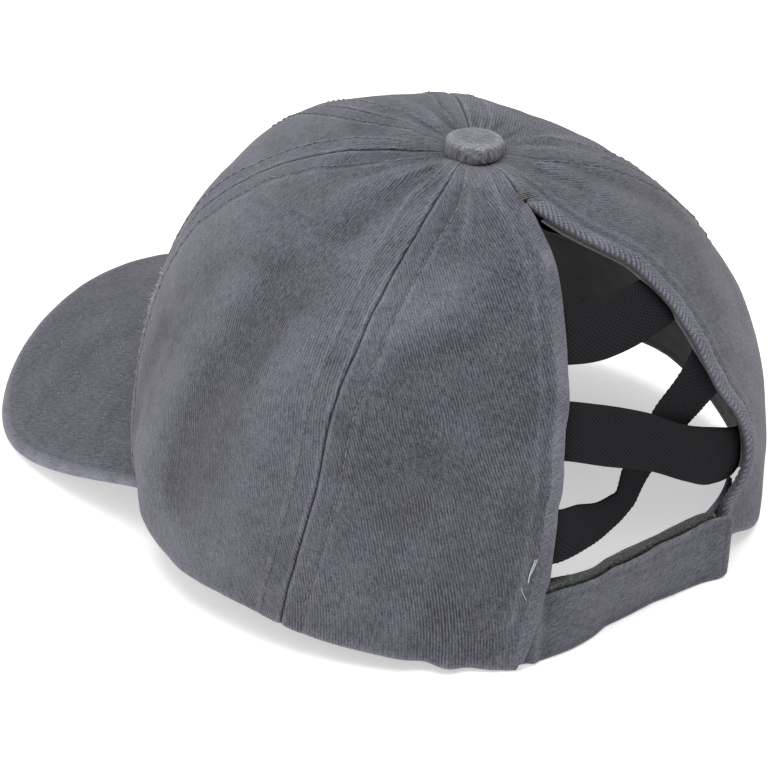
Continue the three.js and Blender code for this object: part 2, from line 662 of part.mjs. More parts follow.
// Elastic bands
const bandTuck = clothThickness + tapeGap + tapeThickness + layerGap;
function bandGeometry(path) {
  const rows = path.map((row, i) => ({ ...row, place: i }));
  const outer = [];
  const inner = [];
  const steps = (path.length - 1) * 3;
  for (let i = 0; i <= steps; i += 1) {
    const place = i / 3;
    const read = (column) => readTable(rows, "place", column, place);
    const outerRow = [];
    const innerRow = [];
    for (const w of [0, 0.25, 0.5, 0.75, 1]) {
      const angle = read("upAngle") * (1 - w) + read("lowAngle") * w;
      const share = read("upShare") * (1 - w) + read("lowShare") * w;
      const depth = bandTuck + bandSlack * (read("upDepth") * (1 - w) + read("lowDepth") * w);
      outerRow.push(skin(angle, share, -depth));
      innerRow.push(skin(angle, share, -depth - bandThickness));
    }
    outer.push(outerRow);
    inner.push(innerRow);
  }
  const across = (grid) => grid[0].map((_, j) => grid.map((row) => row[j]));
  return sheetGeometry(across(outer), across(inner));
}
addPiece("band_top", bandGeometry(bandTopPath), elastic);
addPiece("band_cross_front", bandGeometry(bandFrontPath), elastic);
addPiece("band_cross_back", bandGeometry(bandBackPath), elastic);

// Closed back strap: outer strap, loop tape, inner strap
// How far the outer strap's outer face lies inside the rim ellipse.
function strapInset(angle) {
  const free = smooth(angle, strapFreeFrom, strapFreeFrom + 6) * (clothThickness + layerGap);
  return clothThickness + layerGap + strapBow * readTable(strapPlan, "angle", "inside", angle) - free;
}
function insetPoint(angle, inset, level) {
  const lean = strapBow * readTable(strapPlan, "angle", "lean", angle) * level;
  const normalX = Math.sin(rad(angle)) / rimHalfWidth;
  const normalY = -Math.cos(rad(angle)) / rimHalfLength;
  const normal = new THREE.Vector3(normalX, normalY, 0).normalize();
  return rimPoint(angle).addScaledVector(normal, lean - inset);
}

// The surface that the cap rests on, as a plane in the rim's own frame.
let strapBack = -Infinity;
for (let angle = strapOuterFrom; angle <= strapOuterTo; angle += 0.5) {
  strapBack = Math.max(strapBack, insetPoint(angle, strapInset(angle), 0).y);
}
let restSlope = 0;
for (const row of visorInner) {
  for (const p of row) restSlope = Math.max(restSlope, -p.z / (strapBack - p.y));
}
const restHeight = (y) => (y - strapBack) * restSlope;

function strapGeometry(from, to, inset, thickness, lift, tilt, height, steps) {
  const outer = [];
  const inner = [];
  for (const level of [1, 0.5, 0]) {
    const outerRow = [];
    const innerRow = [];
    for (let k = 0; k <= steps; k += 1) {
      const angle = from + ((to - from) * k) / steps;
      const out = insetPoint(angle, inset(angle), level);
      const back = insetPoint(angle, inset(angle) + thickness, level);
      const bottom = lift - (tilt * k) / steps;
      out.z = restHeight(out.y) + bottom + height * level;
      back.z = restHeight(back.y) + bottom + height * level;
      outerRow.push(out);
      innerRow.push(back);
    }
    outer.push(outerRow);
    inner.push(innerRow);
  }
  return sheetGeometry(outer, inner);
}
const loopInset = (angle) => strapInset(angle) + strapThickness + layerGap;
const innerInset = (angle) => {
  const behindLoop = loopInset(angle) + loopThickness + layerGap;
  return Math.max(behindLoop, cornerTuck + clothThickness + 2 * layerGap);
};
addPiece(
  "strap_outer",
  strapGeometry(strapOuterFrom, strapOuterTo, strapInset, strapThickness, 0, 0, strapHeight, 36),
  twill,
);
addPiece(
  "loop_tape",
  strapGeometry(loopFrom, loopTo, loopInset, loopThickness, loopStandUp, loopTilt, strapHeight - 1, 32),
  pile,
);
addPiece(
  "strap_inner",
  strapGeometry(
    strapInnerFrom,
    strapInnerTo,
    innerInset,
    strapThickness,
    loopStandUp - 1,
    loopTilt,
    strapHeight - 0.6,
    42,
  ),
  twill,
);

// Rest pose
// The cap is pitched front up until the visor's side edges and the strap's lower edge share one plane.
cap.rotation.x = -Math.atan(restSlope);
cap.updateMatrixWorld(true);
const bounds = new THREE.Box3().setFromObject(cap, true);
const model = new THREE.Group();
model.add(cap);
cap.position.set(
  -(bounds.min.x + bounds.max.x) / 2,
  -(bounds.min.y + bounds.max.y) / 2,
  -bounds.min.z,
);

export default model;
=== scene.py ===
import math

import bpy
import numpy as np
from mathutils import Matrix, Vector


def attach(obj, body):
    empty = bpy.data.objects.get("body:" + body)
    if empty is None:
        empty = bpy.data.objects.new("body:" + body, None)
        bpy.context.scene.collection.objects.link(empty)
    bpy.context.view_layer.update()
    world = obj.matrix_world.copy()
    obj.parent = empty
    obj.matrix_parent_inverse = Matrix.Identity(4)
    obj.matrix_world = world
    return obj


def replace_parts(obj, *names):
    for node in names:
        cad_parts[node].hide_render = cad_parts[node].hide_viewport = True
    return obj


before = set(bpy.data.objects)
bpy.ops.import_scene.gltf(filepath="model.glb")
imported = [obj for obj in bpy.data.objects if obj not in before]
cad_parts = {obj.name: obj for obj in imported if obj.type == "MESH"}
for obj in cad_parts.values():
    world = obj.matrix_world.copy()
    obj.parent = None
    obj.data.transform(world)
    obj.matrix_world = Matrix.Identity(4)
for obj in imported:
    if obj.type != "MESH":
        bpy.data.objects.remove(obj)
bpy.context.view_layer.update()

# Crown panels
# Six gores of washed cotton twill, sewn edge to edge and pressed open, so that each seam is a groove
# between two raised, topstitched strips. The two back gores end in a hem along the ponytail opening.
CLOTH = 1.8  # all lengths here are in millimetres, in the rim's own frame
RIM_LENGTH = 93.0  # half axes of the rim's ellipse
RIM_WIDTH = 87.4
CROWN_HEIGHT = 105.9
CROWN_STEEP = 89.57  # degrees that the cloth turns down between the top and the rim
CROWN_ROUND = 1.1635  # over 1, the crown is fuller than a dome
TOP_BACK = 3.75  # the top lies this far behind the rim's centre
TOP_HOLE = 3.5  # the gores stop this far from the top's middle, under the button
PITCH = math.radians(-7.9073)  # the cap rests front up on its visor and back strap
SEAT = np.array([-0.637, 33.9602, 11.9756])  # the rim's centre, from the middle of the floor it covers
VISOR_ANGLE = 61.55  # the visor's corners, in degrees round from the front
VISOR_REACH = 113.2  # from the line between its corners to its tip
VISOR_THICK = 2.8
VISOR_ARCH = 26.6  # its middle over its corners
VISOR_DIP = 33.6  # how far its tip slopes down, and how far it curls down besides
VISOR_CURL = 11.0
CORNER_X = RIM_WIDTH * math.sin(math.radians(VISOR_ANGLE))
CORNER_Y = -RIM_LENGTH * math.cos(math.radians(VISOR_ANGLE))
RIM_WAVES = [  # angle, lift
    (67, 0), (77, -1.68), (88, -0.7), (95, 0.84), (102, 1.575), (112, 1.155), (124, 1.505), (132, 0.875),
    (140, -0.175), (146, 0), (240, 0), (256, 2.1), (266, 3.5), (276, 1.75), (292, 0),
]
CORNER_IN, CORNER_UP = 4.6, 7.0  # the right back gore's lower corner is drawn in and up by the strap
NARROW = 26.0  # where a gore is narrower than this, its seam allowances narrow with it
SEAM_ROW, HEM_ROW = 6.1, 4.9  # from a seam or a hem's fold to the row of stitches beside it
GATHER_COUNT = 34
MAP_UNIT = 100.0  # the weave map puts this many millimetres of cloth in one unit

# A gore's edges: share of its length from the button to the rim, and the angle there.
FRONT_SEAM = [
    (0, 0), (0.25, -2.4), (0.4, -3.4), (0.55, -3.2), (0.68, -2), (0.8, 1.5), (0.9, 6.5), (1, 13),
]
SIDE_SEAM = [
    (0, -1), (0.2, 1.6), (0.36, 0.9), (0.48, -0.2), (0.62, -1.2), (0.74, -0.7), (0.84, -1.7), (1, -4.7),
]
MIDDLE_SEAM = [(0, 6), (0.25, 4), (0.5, 0), (1, 0)]
OPENING_LEFT = [
    (0, 173), (0.1, 173), (0.18, 169.2), (0.27, 166.1), (0.35, 163.4), (0.5, 159.7), (0.56, 158.8),
    (0.63, 157.1), (0.7, 156.2), (0.79, 154.6), (0.88, 153.4), (0.96, 151.3), (1, 149.4),
]
OPENING_RIGHT = [
    (0, 173), (0.1, 173), (0.19, 178.4), (0.27, 185.6), (0.35, 191.6), (0.44, 193.6), (0.52, 194.9),
    (0.61, 195.9), (0.68, 197.9), (0.78, 203.5), (0.82, 204.4), (0.87, 202.6), (0.93, 198.6), (1, 197),
]
SLIT = 0.108  # share where the opening begins

# Worn folds: both ends as angle and share, then half width and height.
FOLDS = [
    (100, 0.05, 172, 0.05, 4.2, 1.87),
    (84.7, 0.46, 78.5, 0.9, 9.1, -1.62), (74, 0.52, 69, 0.97, 8.4, 0.85), (66, 0.94, 82, 0.97, 10.5, 1.87),
    (96, 0.5, 95, 0.95, 9.8, 0.77), (58, 0.72, 56, 0.9, 6.3, -1.19), (19, 0.06, 33, 0.21, 3.5, 0.68),
    (56, 0.05, 50, 0.24, 3.5, -0.68), (72, 0.06, 67, 0.25, 4.2, 0.85), (89, 0.06, 86, 0.3, 4.9, -0.68),
    (100, 0.1, 99, 0.36, 4.9, 0.51), (118, 0.42, 136, 0.31, 8.4, 1.02), (123, 0.66, 125, 0.7, 11.2, -1.36),
    (128, 0.48, 131, 0.5, 10.5, -0.94), (144, 0.3, 149, 0.55, 9.1, -0.68), (137.1, 0.9, 132.8, 1, 4.2, -1.19),
    (140.6, 0.93, 136.6, 1, 3.5, 0.77), (144.3, 0.87, 140.1, 1, 4.2, -1.36),
    (152, 0.765, 146, 0.763, 3.5, -0.85), (228, 0.35, 224, 0.62, 9.1, -0.85),
    (236, 0.68, 230, 0.93, 11.9, 1.02), (214, 0.16, 220, 0.38, 4.9, 0.51),
    (226, 0.18, 232, 0.4, 4.9, -0.85), (4, 0.5, 30, 0.56, 28, 2.13), (262, 0.42, 268, 0.88, 9.8, -1.19),
    (284, 0.5, 288, 0.95, 8.4, 0.85), (300, 0.7, 304, 1, 6.3, -0.85), (312, 0.22, 322, 0.55, 9.1, 0.77),
    (342, 0.35, 350, 0.72, 11.2, -0.68), (22, 0.4, 14, 0.75, 11.2, -0.68),
]


def smooth(value, low, high):
    """From 0 at low to 1 at high, with no kink at either end."""
    u = np.clip((np.asarray(value, float) - low) / (high - low), 0, 1)
    return u * u * (3 - 2 * u)


def hump(value, middle, half):
    """A soft hump, 1 at its middle and nearly gone two half widths away."""
    return np.exp(-(((value - middle) / half) ** 2))


def rounded(far):
    """From 1 at an edge to 0, along a quarter circle, as a fold turns over it."""
    return 1 - np.sqrt(np.clip(1 - (1 - np.clip(far, 0, 1)) ** 2, 0, 1))


def through(rows, at):
    """A smooth curve through (place, value) rows that never overshoots them."""
    x, y = np.array(rows, float).T
    at = np.clip(at, x[0], x[-1])
    i = np.clip(np.searchsorted(x, at, "right") - 1, 0, len(x) - 2)
    span, slope = np.diff(x), np.diff(y) / np.diff(x)
    product = slope[1:] * slope[:-1]
    total = slope[1:] + slope[:-1]
    inner = np.where(product > 0, 2 * product / np.where(total == 0, 1, total), 0)
    tangent = np.concatenate([[slope[0]], inner, [slope[-1]]])
    u = (at - x[i]) / span[i]
    return (
        (2 * u**3 - 3 * u**2 + 1) * y[i]
        + (u**3 - 2 * u**2 + u) * span[i] * tangent[i]
        + (3 * u**2 - 2 * u**3) * y[i + 1]
        + (u**3 - u**2) * span[i] * tangent[i + 1]
    )


def visor_height(x, y):
    """How high the middle of the visor's board lies, arched across and curled down at the front."""
    forward = (CORNER_Y - y) / VISOR_REACH
    across = (x / CORNER_X) ** 2 * (1 + 0.467 * forward)
    return VISOR_ARCH * (1 - across) - VISOR_DIP * forward - VISOR_CURL * forward**2


def visor_half(across):
    """Half the visor's thickness, which thins towards its corners."""
    return VISOR_THICK / 2 * (1 - 0.5 * smooth(across, 0.82, 1))


def from_front(angle):
    """Degrees round from the front, the same on both sides."""
    return np.abs((np.asarray(angle, float) + 180) % 360 - 180)


def rim_point(angle):
    """A point of the rim, which rides up over the visor and is a little wavy behind it."""
    turn = np.radians(angle)
    side = from_front(angle)
    over = np.radians(np.minimum(side, VISOR_ANGLE))
    x, y = (RIM_WIDTH - CLOTH) * np.sin(over), -(RIM_LENGTH - CLOTH) * np.cos(over)
    seat = visor_height(x, y) + visor_half(np.minimum(side / VISOR_ANGLE, 1)) - 0.35
    wave = through(RIM_WAVES, np.asarray(angle, float) % 360)
    rise = (1 - smooth(side, VISOR_ANGLE, VISOR_ANGLE + 3)) * seat
    return np.stack([RIM_WIDTH * np.sin(turn), -RIM_LENGTH * np.cos(turn), rise + wave], -1)


def crown_point(angle, share):
    """A point of the smooth crown, at a share of the way down from the top."""
    rim = rim_point(angle)
    cosine = np.cos(np.radians(angle))
    power = 2 / (2.327 - 0.187 * cosine + 0.174 * np.cos(np.radians(2 * angle)))
    steep = np.radians(CROWN_STEEP + 0.334 * cosine)
    turn = np.clip(share, 1e-4, 1) * steep
    out = (np.sin(turn) / np.sin(steep)) ** power
    foot = np.cos(steep) ** power
    up = (np.cos(turn) ** power - foot) / (1 - foot)
    return np.stack(
        [
            rim[..., 0] * out,
            TOP_BACK + (rim[..., 1] - TOP_BACK) * out,
            rim[..., 2] + (CROWN_HEIGHT - rim[..., 2]) * up,
        ],
        -1,
    )


def unit(v):
    """Vectors of the same directions, one long."""
    return v / np.maximum(np.linalg.norm(v, axis=-1, keepdims=True), 1e-12)


def crown_normal(angle, share):
    """Straight out of the smooth crown."""
    s = np.clip(share, 0.012, 0.995)
    around = crown_point(angle + 0.5, s) - crown_point(angle - 0.5, s)
    down = crown_point(angle, s + 0.004) - crown_point(angle, s - 0.004)
    return unit(np.cross(down, around))


steps = np.linspace(0, 1, 41)
GORE = float(np.linalg.norm(np.diff(crown_point(90 + 0 * steps, steps), axis=0), axis=-1).sum())


def share_near_top(radius):
    """The share of a gore at a distance from the top's middle, where the crown is still flat."""
    return (radius / RIM_WIDTH) ** CROWN_ROUND / math.radians(CROWN_STEEP)


def radius_at(angle, share):
    """How far a point of the crown lies from the upright through its top."""
    p = crown_point(angle, share)
    return np.hypot(p[..., 0], p[..., 1] - TOP_BACK)


def fold_height(angle, share):
    """Height of the worn folds, each a soft ridge or trough along its line."""
    radius = RIM_WIDTH * np.sin(np.radians(np.minimum(share, 1) * 90)) ** 0.86
    total = 0.0
    for a0, s0, a1, s1, width, height in FOLDS:
        px = np.radians((angle - a0 + 180) % 360 - 180) * radius
        py = (share - s0) * GORE
        dx, dy = np.radians(a1 - a0) * radius, (s1 - s0) * GORE
        along = np.clip((px * dx + py * dy) / (dx * dx + dy * dy), 0, 1)
        far = np.hypot(px - along * dx, py - along * dy) / width
        total = total + height * np.exp(-far * far)
    return total


def value_noise(x, y, size, seed):
    """Soft noise from -1 to 1 with bumps about `size` apart."""
    grid = np.random.default_rng(seed).uniform(-1, 1, (97, 97))
    x, y = np.asarray(x) / size + 40, np.asarray(y) / size + 40
    i, j = np.floor(x).astype(int), np.floor(y).astype(int)
    u, v = smooth(x - i, 0, 1), smooth(y - j, 0, 1)
    i, j, i1, j1 = i % 97, j % 97, (i + 1) % 97, (j + 1) % 97
    low = grid[i, j] * (1 - u) + grid[i1, j] * u
    high = grid[i, j1] * (1 - u) + grid[i1, j1] * u
    return low * (1 - v) + high * v


# Small gathers that run out from under the button: angle, half width in degrees, height and the share
# at which each has faded.
gather_draw = np.random.default_rng(11)
GATHERS = [
    (
        360 * (k + gather_draw.uniform(-0.35, 0.35)) / GATHER_COUNT,
        gather_draw.uniform(2.2, 5.0),
        gather_draw.uniform(0.25, 0.7) * (1 if k % 2 else -1),
        gather_draw.uniform(0.16, 0.34),
    )
    for k in range(GATHER_COUNT)
]


def relief(angle, share):
    """Fine creases of the washed cloth over the folds, in millimetres."""
    out = radius_at(angle, share)
    x, y = out * np.cos(np.radians(angle)), out * np.sin(np.radians(angle))
    low = share * GORE
    total = 0.30 * value_noise(x + 0.5 * low, y - 0.3 * low, 17, 3)
    total = total + 0.13 * value_noise(x - 0.4 * low, y + 0.6 * low, 7.5, 4)
    total = total + 0.05 * value_noise(x, y + 0.9 * low, 3.4, 5)
    for middle, half, height, fade in GATHERS:
        off = ((angle - middle + 180) % 360 - 180) / half
        reach = smooth(share, 0.05, 0.095) * (1 - smooth(share, 0.6 * fade, fade))
        total = total + height * reach * np.exp(-off * off)
    return total


def corner_share(angle, share):
    """From 0 to 1 towards the right back gore's lower corner."""
    around = np.asarray(angle, float) % 360
    return smooth(around, 180, 190) * (1 - smooth(around, 202, 218)) * smooth(share, 0.84, 0.97)


def skin(angle, share, height, creases=1.0):
    """A point of the worn crown, `height` outside its outer face. Over the visor it is sewn down smooth."""
    angle, share = np.broadcast_arrays(np.asarray(angle, float), np.asarray(share, float))
    corner = corner_share(angle, share)
    p, n = crown_point(angle, share), crown_normal(angle, share)
    side = from_front(angle)
    sewn_down = smooth(share, 0.9, 1) * (1 - smooth(side, VISOR_ANGLE - 2, VISOR_ANGLE + 8))
    lift = height + (1 - sewn_down) * (fold_height(angle, share) + creases * relief(angle, share))
    p = p + n * lift[..., None]
    p[..., :2] -= CORNER_IN * corner[..., None] * n[..., :2]
    hang = smooth(side, VISOR_ANGLE + 2, VISOR_ANGLE + 10) * smooth(share, 0.94, 1)
    p[..., 2] += CORNER_UP * corner - hang * (1 - corner)
    return p


def at_rest(p):
    """From the rim's frame in millimetres to the row frame in metres."""
    c, s = math.cos(PITCH), math.sin(PITCH)
    x, y, z = p[..., 0], p[..., 1], p[..., 2]
    return (np.stack([x, y * c - z * s, y * s + z * c], -1) + SEAT) * 0.001


def make_mesh(name, points, faces, weave, marks=(), material_of_face=None):
    """A smooth mesh. The weave map and the named marks, such as wear with painted light and painted shade,
    are given for each vertex.
    """
    mesh = bpy.data.meshes.new(name)
    points = np.asarray(points, np.float32).reshape(-1, 3)
    faces = np.asarray(faces, np.int32)
    mesh.vertices.add(len(points))
    mesh.vertices.foreach_set("co", points.ravel())
    mesh.loops.add(faces.size)
    mesh.loops.foreach_set("vertex_index", faces.ravel())
    mesh.polygons.add(len(faces))
    mesh.polygons.foreach_set("loop_start", np.arange(0, faces.size, faces.shape[1], dtype=np.int32))
    mesh.polygons.foreach_set("use_smooth", np.ones(len(faces), bool))
    if material_of_face is not None:
        mesh.polygons.foreach_set("material_index", np.asarray(material_of_face, np.int32))
    uv = np.asarray(weave, np.float32).reshape(-1, 2)[faces.ravel()]
    mesh.uv_layers.new(name="weave").data.foreach_set("uv", uv.ravel())
    for label, values in marks:
        mark = mesh.attributes.new(label, "FLOAT", "POINT")
        mark.data.foreach_set("value", np.asarray(values, np.float32).ravel())
    mesh.update()
    mesh.validate()
    made = bpy.data.objects.new(name, mesh)
    bpy.context.scene.collection.objects.link(made)
    return made


def sheet_faces(rows, cols):
    """Faces of a closed sheet: an outer grid, an inner grid after it, and the rims between them."""
    i, j = np.meshgrid(np.arange(rows - 1), np.arange(cols - 1), indexing="ij")
    a, b, c, d = (i * cols + j, (i + 1) * cols + j, (i + 1) * cols + j + 1, i * cols + j + 1)
    front = np.stack([a, b, c, d], -1).reshape(-1, 4)
    back = np.stack([a, d, c, b], -1).reshape(-1, 4) + rows * cols
    ring = np.concatenate(
        [
            np.arange(rows) * cols,
            (rows - 1) * cols + np.arange(1, cols),
            np.arange(rows - 2, -1, -1) * cols + cols - 1,
            np.arange(cols - 2, 0, -1),
        ]
    )
    after = np.roll(ring, -1)
    side = np.stack([ring, ring + rows * cols, after + rows * cols, after], -1)
    return front, back, side


def sheet_piece(name, outer, inner, weave, marks=(), inside=True):
    """A closed sheet from two grids of points. Outer faces and rims use slot 0, inner faces slot 1."""
    rows, cols = outer.shape[:2]
    front, back, side = sheet_faces(rows, cols)
    faces = np.concatenate([front, side, back])
    slots = np.zeros(len(faces), int)
    if inside:
        slots[len(front) + len(side):] = 1
    both = [(label, np.concatenate([values, values])) for label, values in marks]
    return make_mesh(
        name, at_rest(np.concatenate([outer, inner])), faces, np.concatenate([weave, weave]), both, slots
    )


def seam_profile(d, hem):
    """Height beside a seam's groove or a hem's fold, at distance d from the edge."""
    groove = -0.55 * hump(d, 0, 0.24) - 0.1 * hump(d, 0, 0.8)
    strip = 0.24 * smooth(d, 0.3, 1.4) * (1 - smooth(d, 5.6, 7.4))
    stitched = -0.1 * hump(d, SEAM_ROW, 0.5)
    fold = 0.25 * (1 - smooth(d, 4.2, 5.6)) - 0.15 * hump(d, HEM_ROW, 0.6)
    return (1 - hem) * (groove + strip + stitched) + hem * fold


def seam_pucker(d, low, hem, shift, seed):
    """Small puckers that the sewing draws up beside a seam or a hem."""
    drawn = value_noise(low + 0.45 * d + shift, d * 0.35 + shift, 2.6, seed)
    drawn = drawn + 0.7 * value_noise(low - 0.3 * d, d * 0.3 + shift, 4.4, seed + 1)
    return (0.17 - 0.05 * hem) * drawn * smooth(d, 0.2, 2.5) * (1 - smooth(d, 6, 10.5))


def opening_hem(share):
    """How much of a back gore's free edge is hem: none above the slit, all below its top."""
    return smooth(share, SLIT - 0.01, SLIT + 0.02)


def no_hem(share):
    """A seam's edge has no hem."""
    return 0 * np.asarray(share, float)


def seam_line(angle, table, mirror=1):
    """A gore's edge: its angle at any share, a little wavy as sewn."""

    def edge(share):
        wave = 0.17 * value_noise(share * GORE, angle % 360, 4.5, 19)
        return angle + mirror * through(table, share) + wave

    return edge


seam_front = seam_line(41, FRONT_SEAM)
seam_side = seam_line(111.4, SIDE_SEAM)
seam_side_right = seam_line(248.6, SIDE_SEAM, -1)
seam_front_right = seam_line(319, FRONT_SEAM, -1)
edge_left = seam_line(0, OPENING_LEFT)
edge_right = seam_line(0, OPENING_RIGHT)
GORES = [  # name, first edge, last edge, and how much of each is hem
    ("crown_front_left", seam_line(0, MIDDLE_SEAM), seam_front, no_hem, no_hem),
    ("crown_side_left", seam_front, seam_side, no_hem, no_hem),
    ("crown_back_left", seam_side, edge_left, no_hem, opening_hem),
    ("crown_back_right", edge_right, seam_side_right, opening_hem, no_hem),
    ("crown_side_right", seam_side_right, seam_front_right, no_hem, no_hem),
    ("crown_front_right", seam_front_right, seam_line(360, MIDDLE_SEAM), no_hem, no_hem),
]
EDGE_PLACES = [  # how far from a seam the cloth's close rows of points lie
    0.06, 0.25, 0.5, 0.8, 1.2, 1.7, 2.3, 3.0, 3.7, 4.3, 4.9, 5.4, 5.8, 6.1, 6.4, 6.8, 7.4, 8.2,
]
TOP_SHARE = share_near_top(TOP_HOLE)


def gore_rows():
    """Shares of a gore's rows of points, closer together at the rim's fold."""
    length = (1 - TOP_SHARE) * GORE
    main = np.linspace(0, length - 1.1, 150)
    return TOP_SHARE + np.concatenate([main, length - np.array([0.85, 0.6, 0.38, 0.2, 0.07, 0])]) / GORE


def gore_width(first, last, share):
    """How wide a gore is at a share of its length."""
    a0, a1 = first(share), last(share)
    return np.radians(a1 - a0) * radius_at((a0 + a1) / 2, share)


def gore_grid(first, last, hem0, hem1):
    """Angles, shares, places across, widths and how far the seam allowances narrow, of one gore."""
    share = gore_rows()[:, None]
    a0, a1 = first(share), last(share)
    width = gore_width(first, last, share)
    scale = np.minimum(1, width / NARROW)
    near = np.array(EDGE_PLACES)[None] * scale
    middle = np.linspace(0, 1, 58)[None, 1:-1]
    start, stop = near[:, -1:], width - near[:, -1:]
    place = np.concatenate([near, start + (stop - start) * middle, width - near[:, ::-1]], 1)
    # The hem's own roll covers the cloth's raw edge, so the cloth stops inside it.
    tuck0, tuck1 = 1.2 * hem0(share), 1.2 * hem1(share)
    place = tuck0 + place * (width - tuck0 - tuck1) / width
    return a0 + (a1 - a0) * place / width, share + 0 * place, place, width, scale


RIM_FOLD = 0.9
LAST_EDGE_SHIFT = 50  # keeps the puckers along a gore's two edges from being alike
PUCKER_SEED = 20


def gore_height(d0, d1, scale, share, hem0, hem1, seed):
    """Height of the pressed seams, hems and puckers of one gore."""
    h0, h1 = hem0(share), hem1(share)
    high = seam_profile(d0, h0) + seam_profile(d1, h1)
    low = share * GORE
    high = high + seam_pucker(d0, low, h0, 0, seed) + seam_pucker(d1, low, h1, LAST_EDGE_SHIFT, seed)
    return scale * high


crown_pieces = {}
for gore_number, (name, first, last, hem0, hem1) in enumerate(GORES):
    angle, share, place, width, scale = gore_grid(first, last, hem0, hem1)
    d0, d1 = place / scale, (width - place) / scale
    edge = np.minimum(d0, d1)
    high = gore_height(d0, d1, scale, share, hem0, hem1, PUCKER_SEED + 2 * gore_number)
    # The rim's fold: the outer face turns in over the last millimetre.
    left = (1 - share) * GORE
    turn_in = 0.85 * rounded(left / RIM_FOLD)
    outer = skin(angle, share, high - turn_in)
    inner = skin(angle, share, -CLOTH + turn_in + 0 * high)
    ridge = high + relief(angle, share) + 0.8 * fold_height(angle, share)
    on_visor = 1 - smooth(from_front(angle), VISOR_ANGLE - 4, VISOR_ANGLE)
    # Wear with painted light and shade: the ridges of folds and creases are paler and their troughs darker,
    # while the rim's fold and the seams' edges are worn pale.
    wear_and_painted_light = np.clip(0.35 + 1.1 * ridge, 0, 1.2) * 0.5
    wear_and_painted_light = wear_and_painted_light + (0.9 - 0.75 * on_visor) * hump(left, 0, RIM_FOLD)
    rubbed = 0.75 + 0.5 * value_noise(share * GORE, angle, 3.5, 31)
    wear_and_painted_light = wear_and_painted_light + 0.6 * rubbed * hump(edge, 0.95, 0.5)
    wear_and_painted_light = wear_and_painted_light + 0.4 * rubbed * hump(edge, 7.2, 0.7)
    # Painted shade: darker in each seam's groove, along its stitched strips and in its stitch row, and none
    # along a hem.
    strip = 0.1 * smooth(edge, 0.6, 1.6) * (1 - smooth(edge, 5.4, 6.2))
    strip = strip + 0.32 * hump(edge, SEAM_ROW, 0.4)
    painted_shade = (hump(edge, 0, 0.17) + strip) * (1 - np.where(d0 < d1, hem0(share), hem1(share)))
    weave = np.stack([place - width / 2, share * GORE], -1) / MAP_UNIT
    crown_pieces[name] = sheet_piece(name + "_cloth", outer, inner, weave, [("wear_and_painted_light", wear_and_painted_light), ("painted_shade", painted_shade)])


def socketed(group_name, ins, outs):
    """A shader node group with named sockets, its input node and its output node."""
    group = bpy.data.node_groups.new(group_name, "ShaderNodeTree")
    for label, kind, value in ins:
        made = group.interface.new_socket(name=label, in_out="INPUT", socket_type="NodeSocket" + kind)
        if value is not None:
            made.default_value = value
    for label, kind in outs:
        group.interface.new_socket(name=label, in_out="OUTPUT", socket_type="NodeSocket" + kind)
    return group, group.nodes.new("NodeGroupInput"), group.nodes.new("NodeGroupOutput")


def feed(tree, socket, value):
    """Links a socket to another node's output, or sets it to a plain value."""
    if isinstance(value, bpy.types.NodeSocket):
        tree.links.new(value, socket)
    else:
        socket.default_value = value


def number(tree, operation, *values):
    """One sum of numbers, each a plain one or another node's output."""
    made = tree.nodes.new("ShaderNodeMath")
    made.operation = operation
    for socket, value in zip(made.inputs, values):
        feed(tree, socket, value)
    return made.outputs[0]


def sine(tree, value, pitch):
    """Waves from -1 to 1, one to each pitch of the value."""
    return number(tree, "SINE", number(tree, "MULTIPLY", value, 2 * math.pi / pitch))


def from_zero(tree, value):
    """Turns -1 to 1 into 0 to 1."""
    return number(tree, "MULTIPLY_ADD", value, 0.5, 0.5)


def scaled(tree, vector, factor):
    """A place scaled by a factor."""
    made = tree.nodes.new("ShaderNodeVectorMath")
    made.operation = "SCALE"
    feed(tree, made.inputs[0], vector)
    feed(tree, made.inputs["Scale"], factor)
    return made.outputs[0]


def noise(tree, vector, scale, detail=2.0, roughness=0.5):
    """Soft cloudy noise about 0.5."""
    made = tree.nodes.new("ShaderNodeTexNoise")
    made.noise_dimensions = "3D"
    feed(tree, made.inputs["Vector"], vector)
    feed(tree, made.inputs["Scale"], scale)
    feed(tree, made.inputs["Detail"], detail)
    feed(tree, made.inputs["Roughness"], roughness)
    return made.outputs["Fac"]


def mixed(tree, factor, a, b, blend="MIX"):
    """Two colours mixed by a factor."""
    made = tree.nodes.new("ShaderNodeMix")
    made.data_type = "RGBA"
    made.blend_type = blend
    feed(tree, made.inputs["Factor"], factor)
    feed(tree, made.inputs[6], a)
    feed(tree, made.inputs[7], b)
    return made.outputs[2]


def ranged(tree, value, low, high, to_low, to_high):
    """A value moved from one range to another, and kept inside it."""
    made = tree.nodes.new("ShaderNodeMapRange")
    for socket, item in zip(made.inputs, (value, low, high, to_low, to_high)):
        feed(tree, socket, item)
    return made.outputs[0]


# The diagonal lines of a twill, the threads that cross them and the lint on top.
CROSS_THREAD = 0.57
twill_group, g_in, g_out = socketed(
    "twill_lines",
    [
        ("Place", "Vector", None), ("Grain", "Float", 0.4), ("Pitch", "Float", 0.85), ("Clear", "Float", 1.0),
    ],
    [("Height", "Float"), ("Light", "Float")],
)
tree = twill_group
place_mm = scaled(tree, g_in.outputs["Place"], MAP_UNIT)
apart = tree.nodes.new("ShaderNodeSeparateXYZ")
tree.links.new(place_mm, apart.inputs[0])
cos_g = number(tree, "COSINE", g_in.outputs["Grain"])
sin_g = number(tree, "SINE", g_in.outputs["Grain"])
over_line = number(
    tree, "SUBTRACT",
    number(tree, "MULTIPLY", apart.outputs[0], cos_g), number(tree, "MULTIPLY", apart.outputs[1], sin_g),
)
along_line = number(
    tree, "ADD",
    number(tree, "MULTIPLY", apart.outputs[0], sin_g), number(tree, "MULTIPLY", apart.outputs[1], cos_g),
)
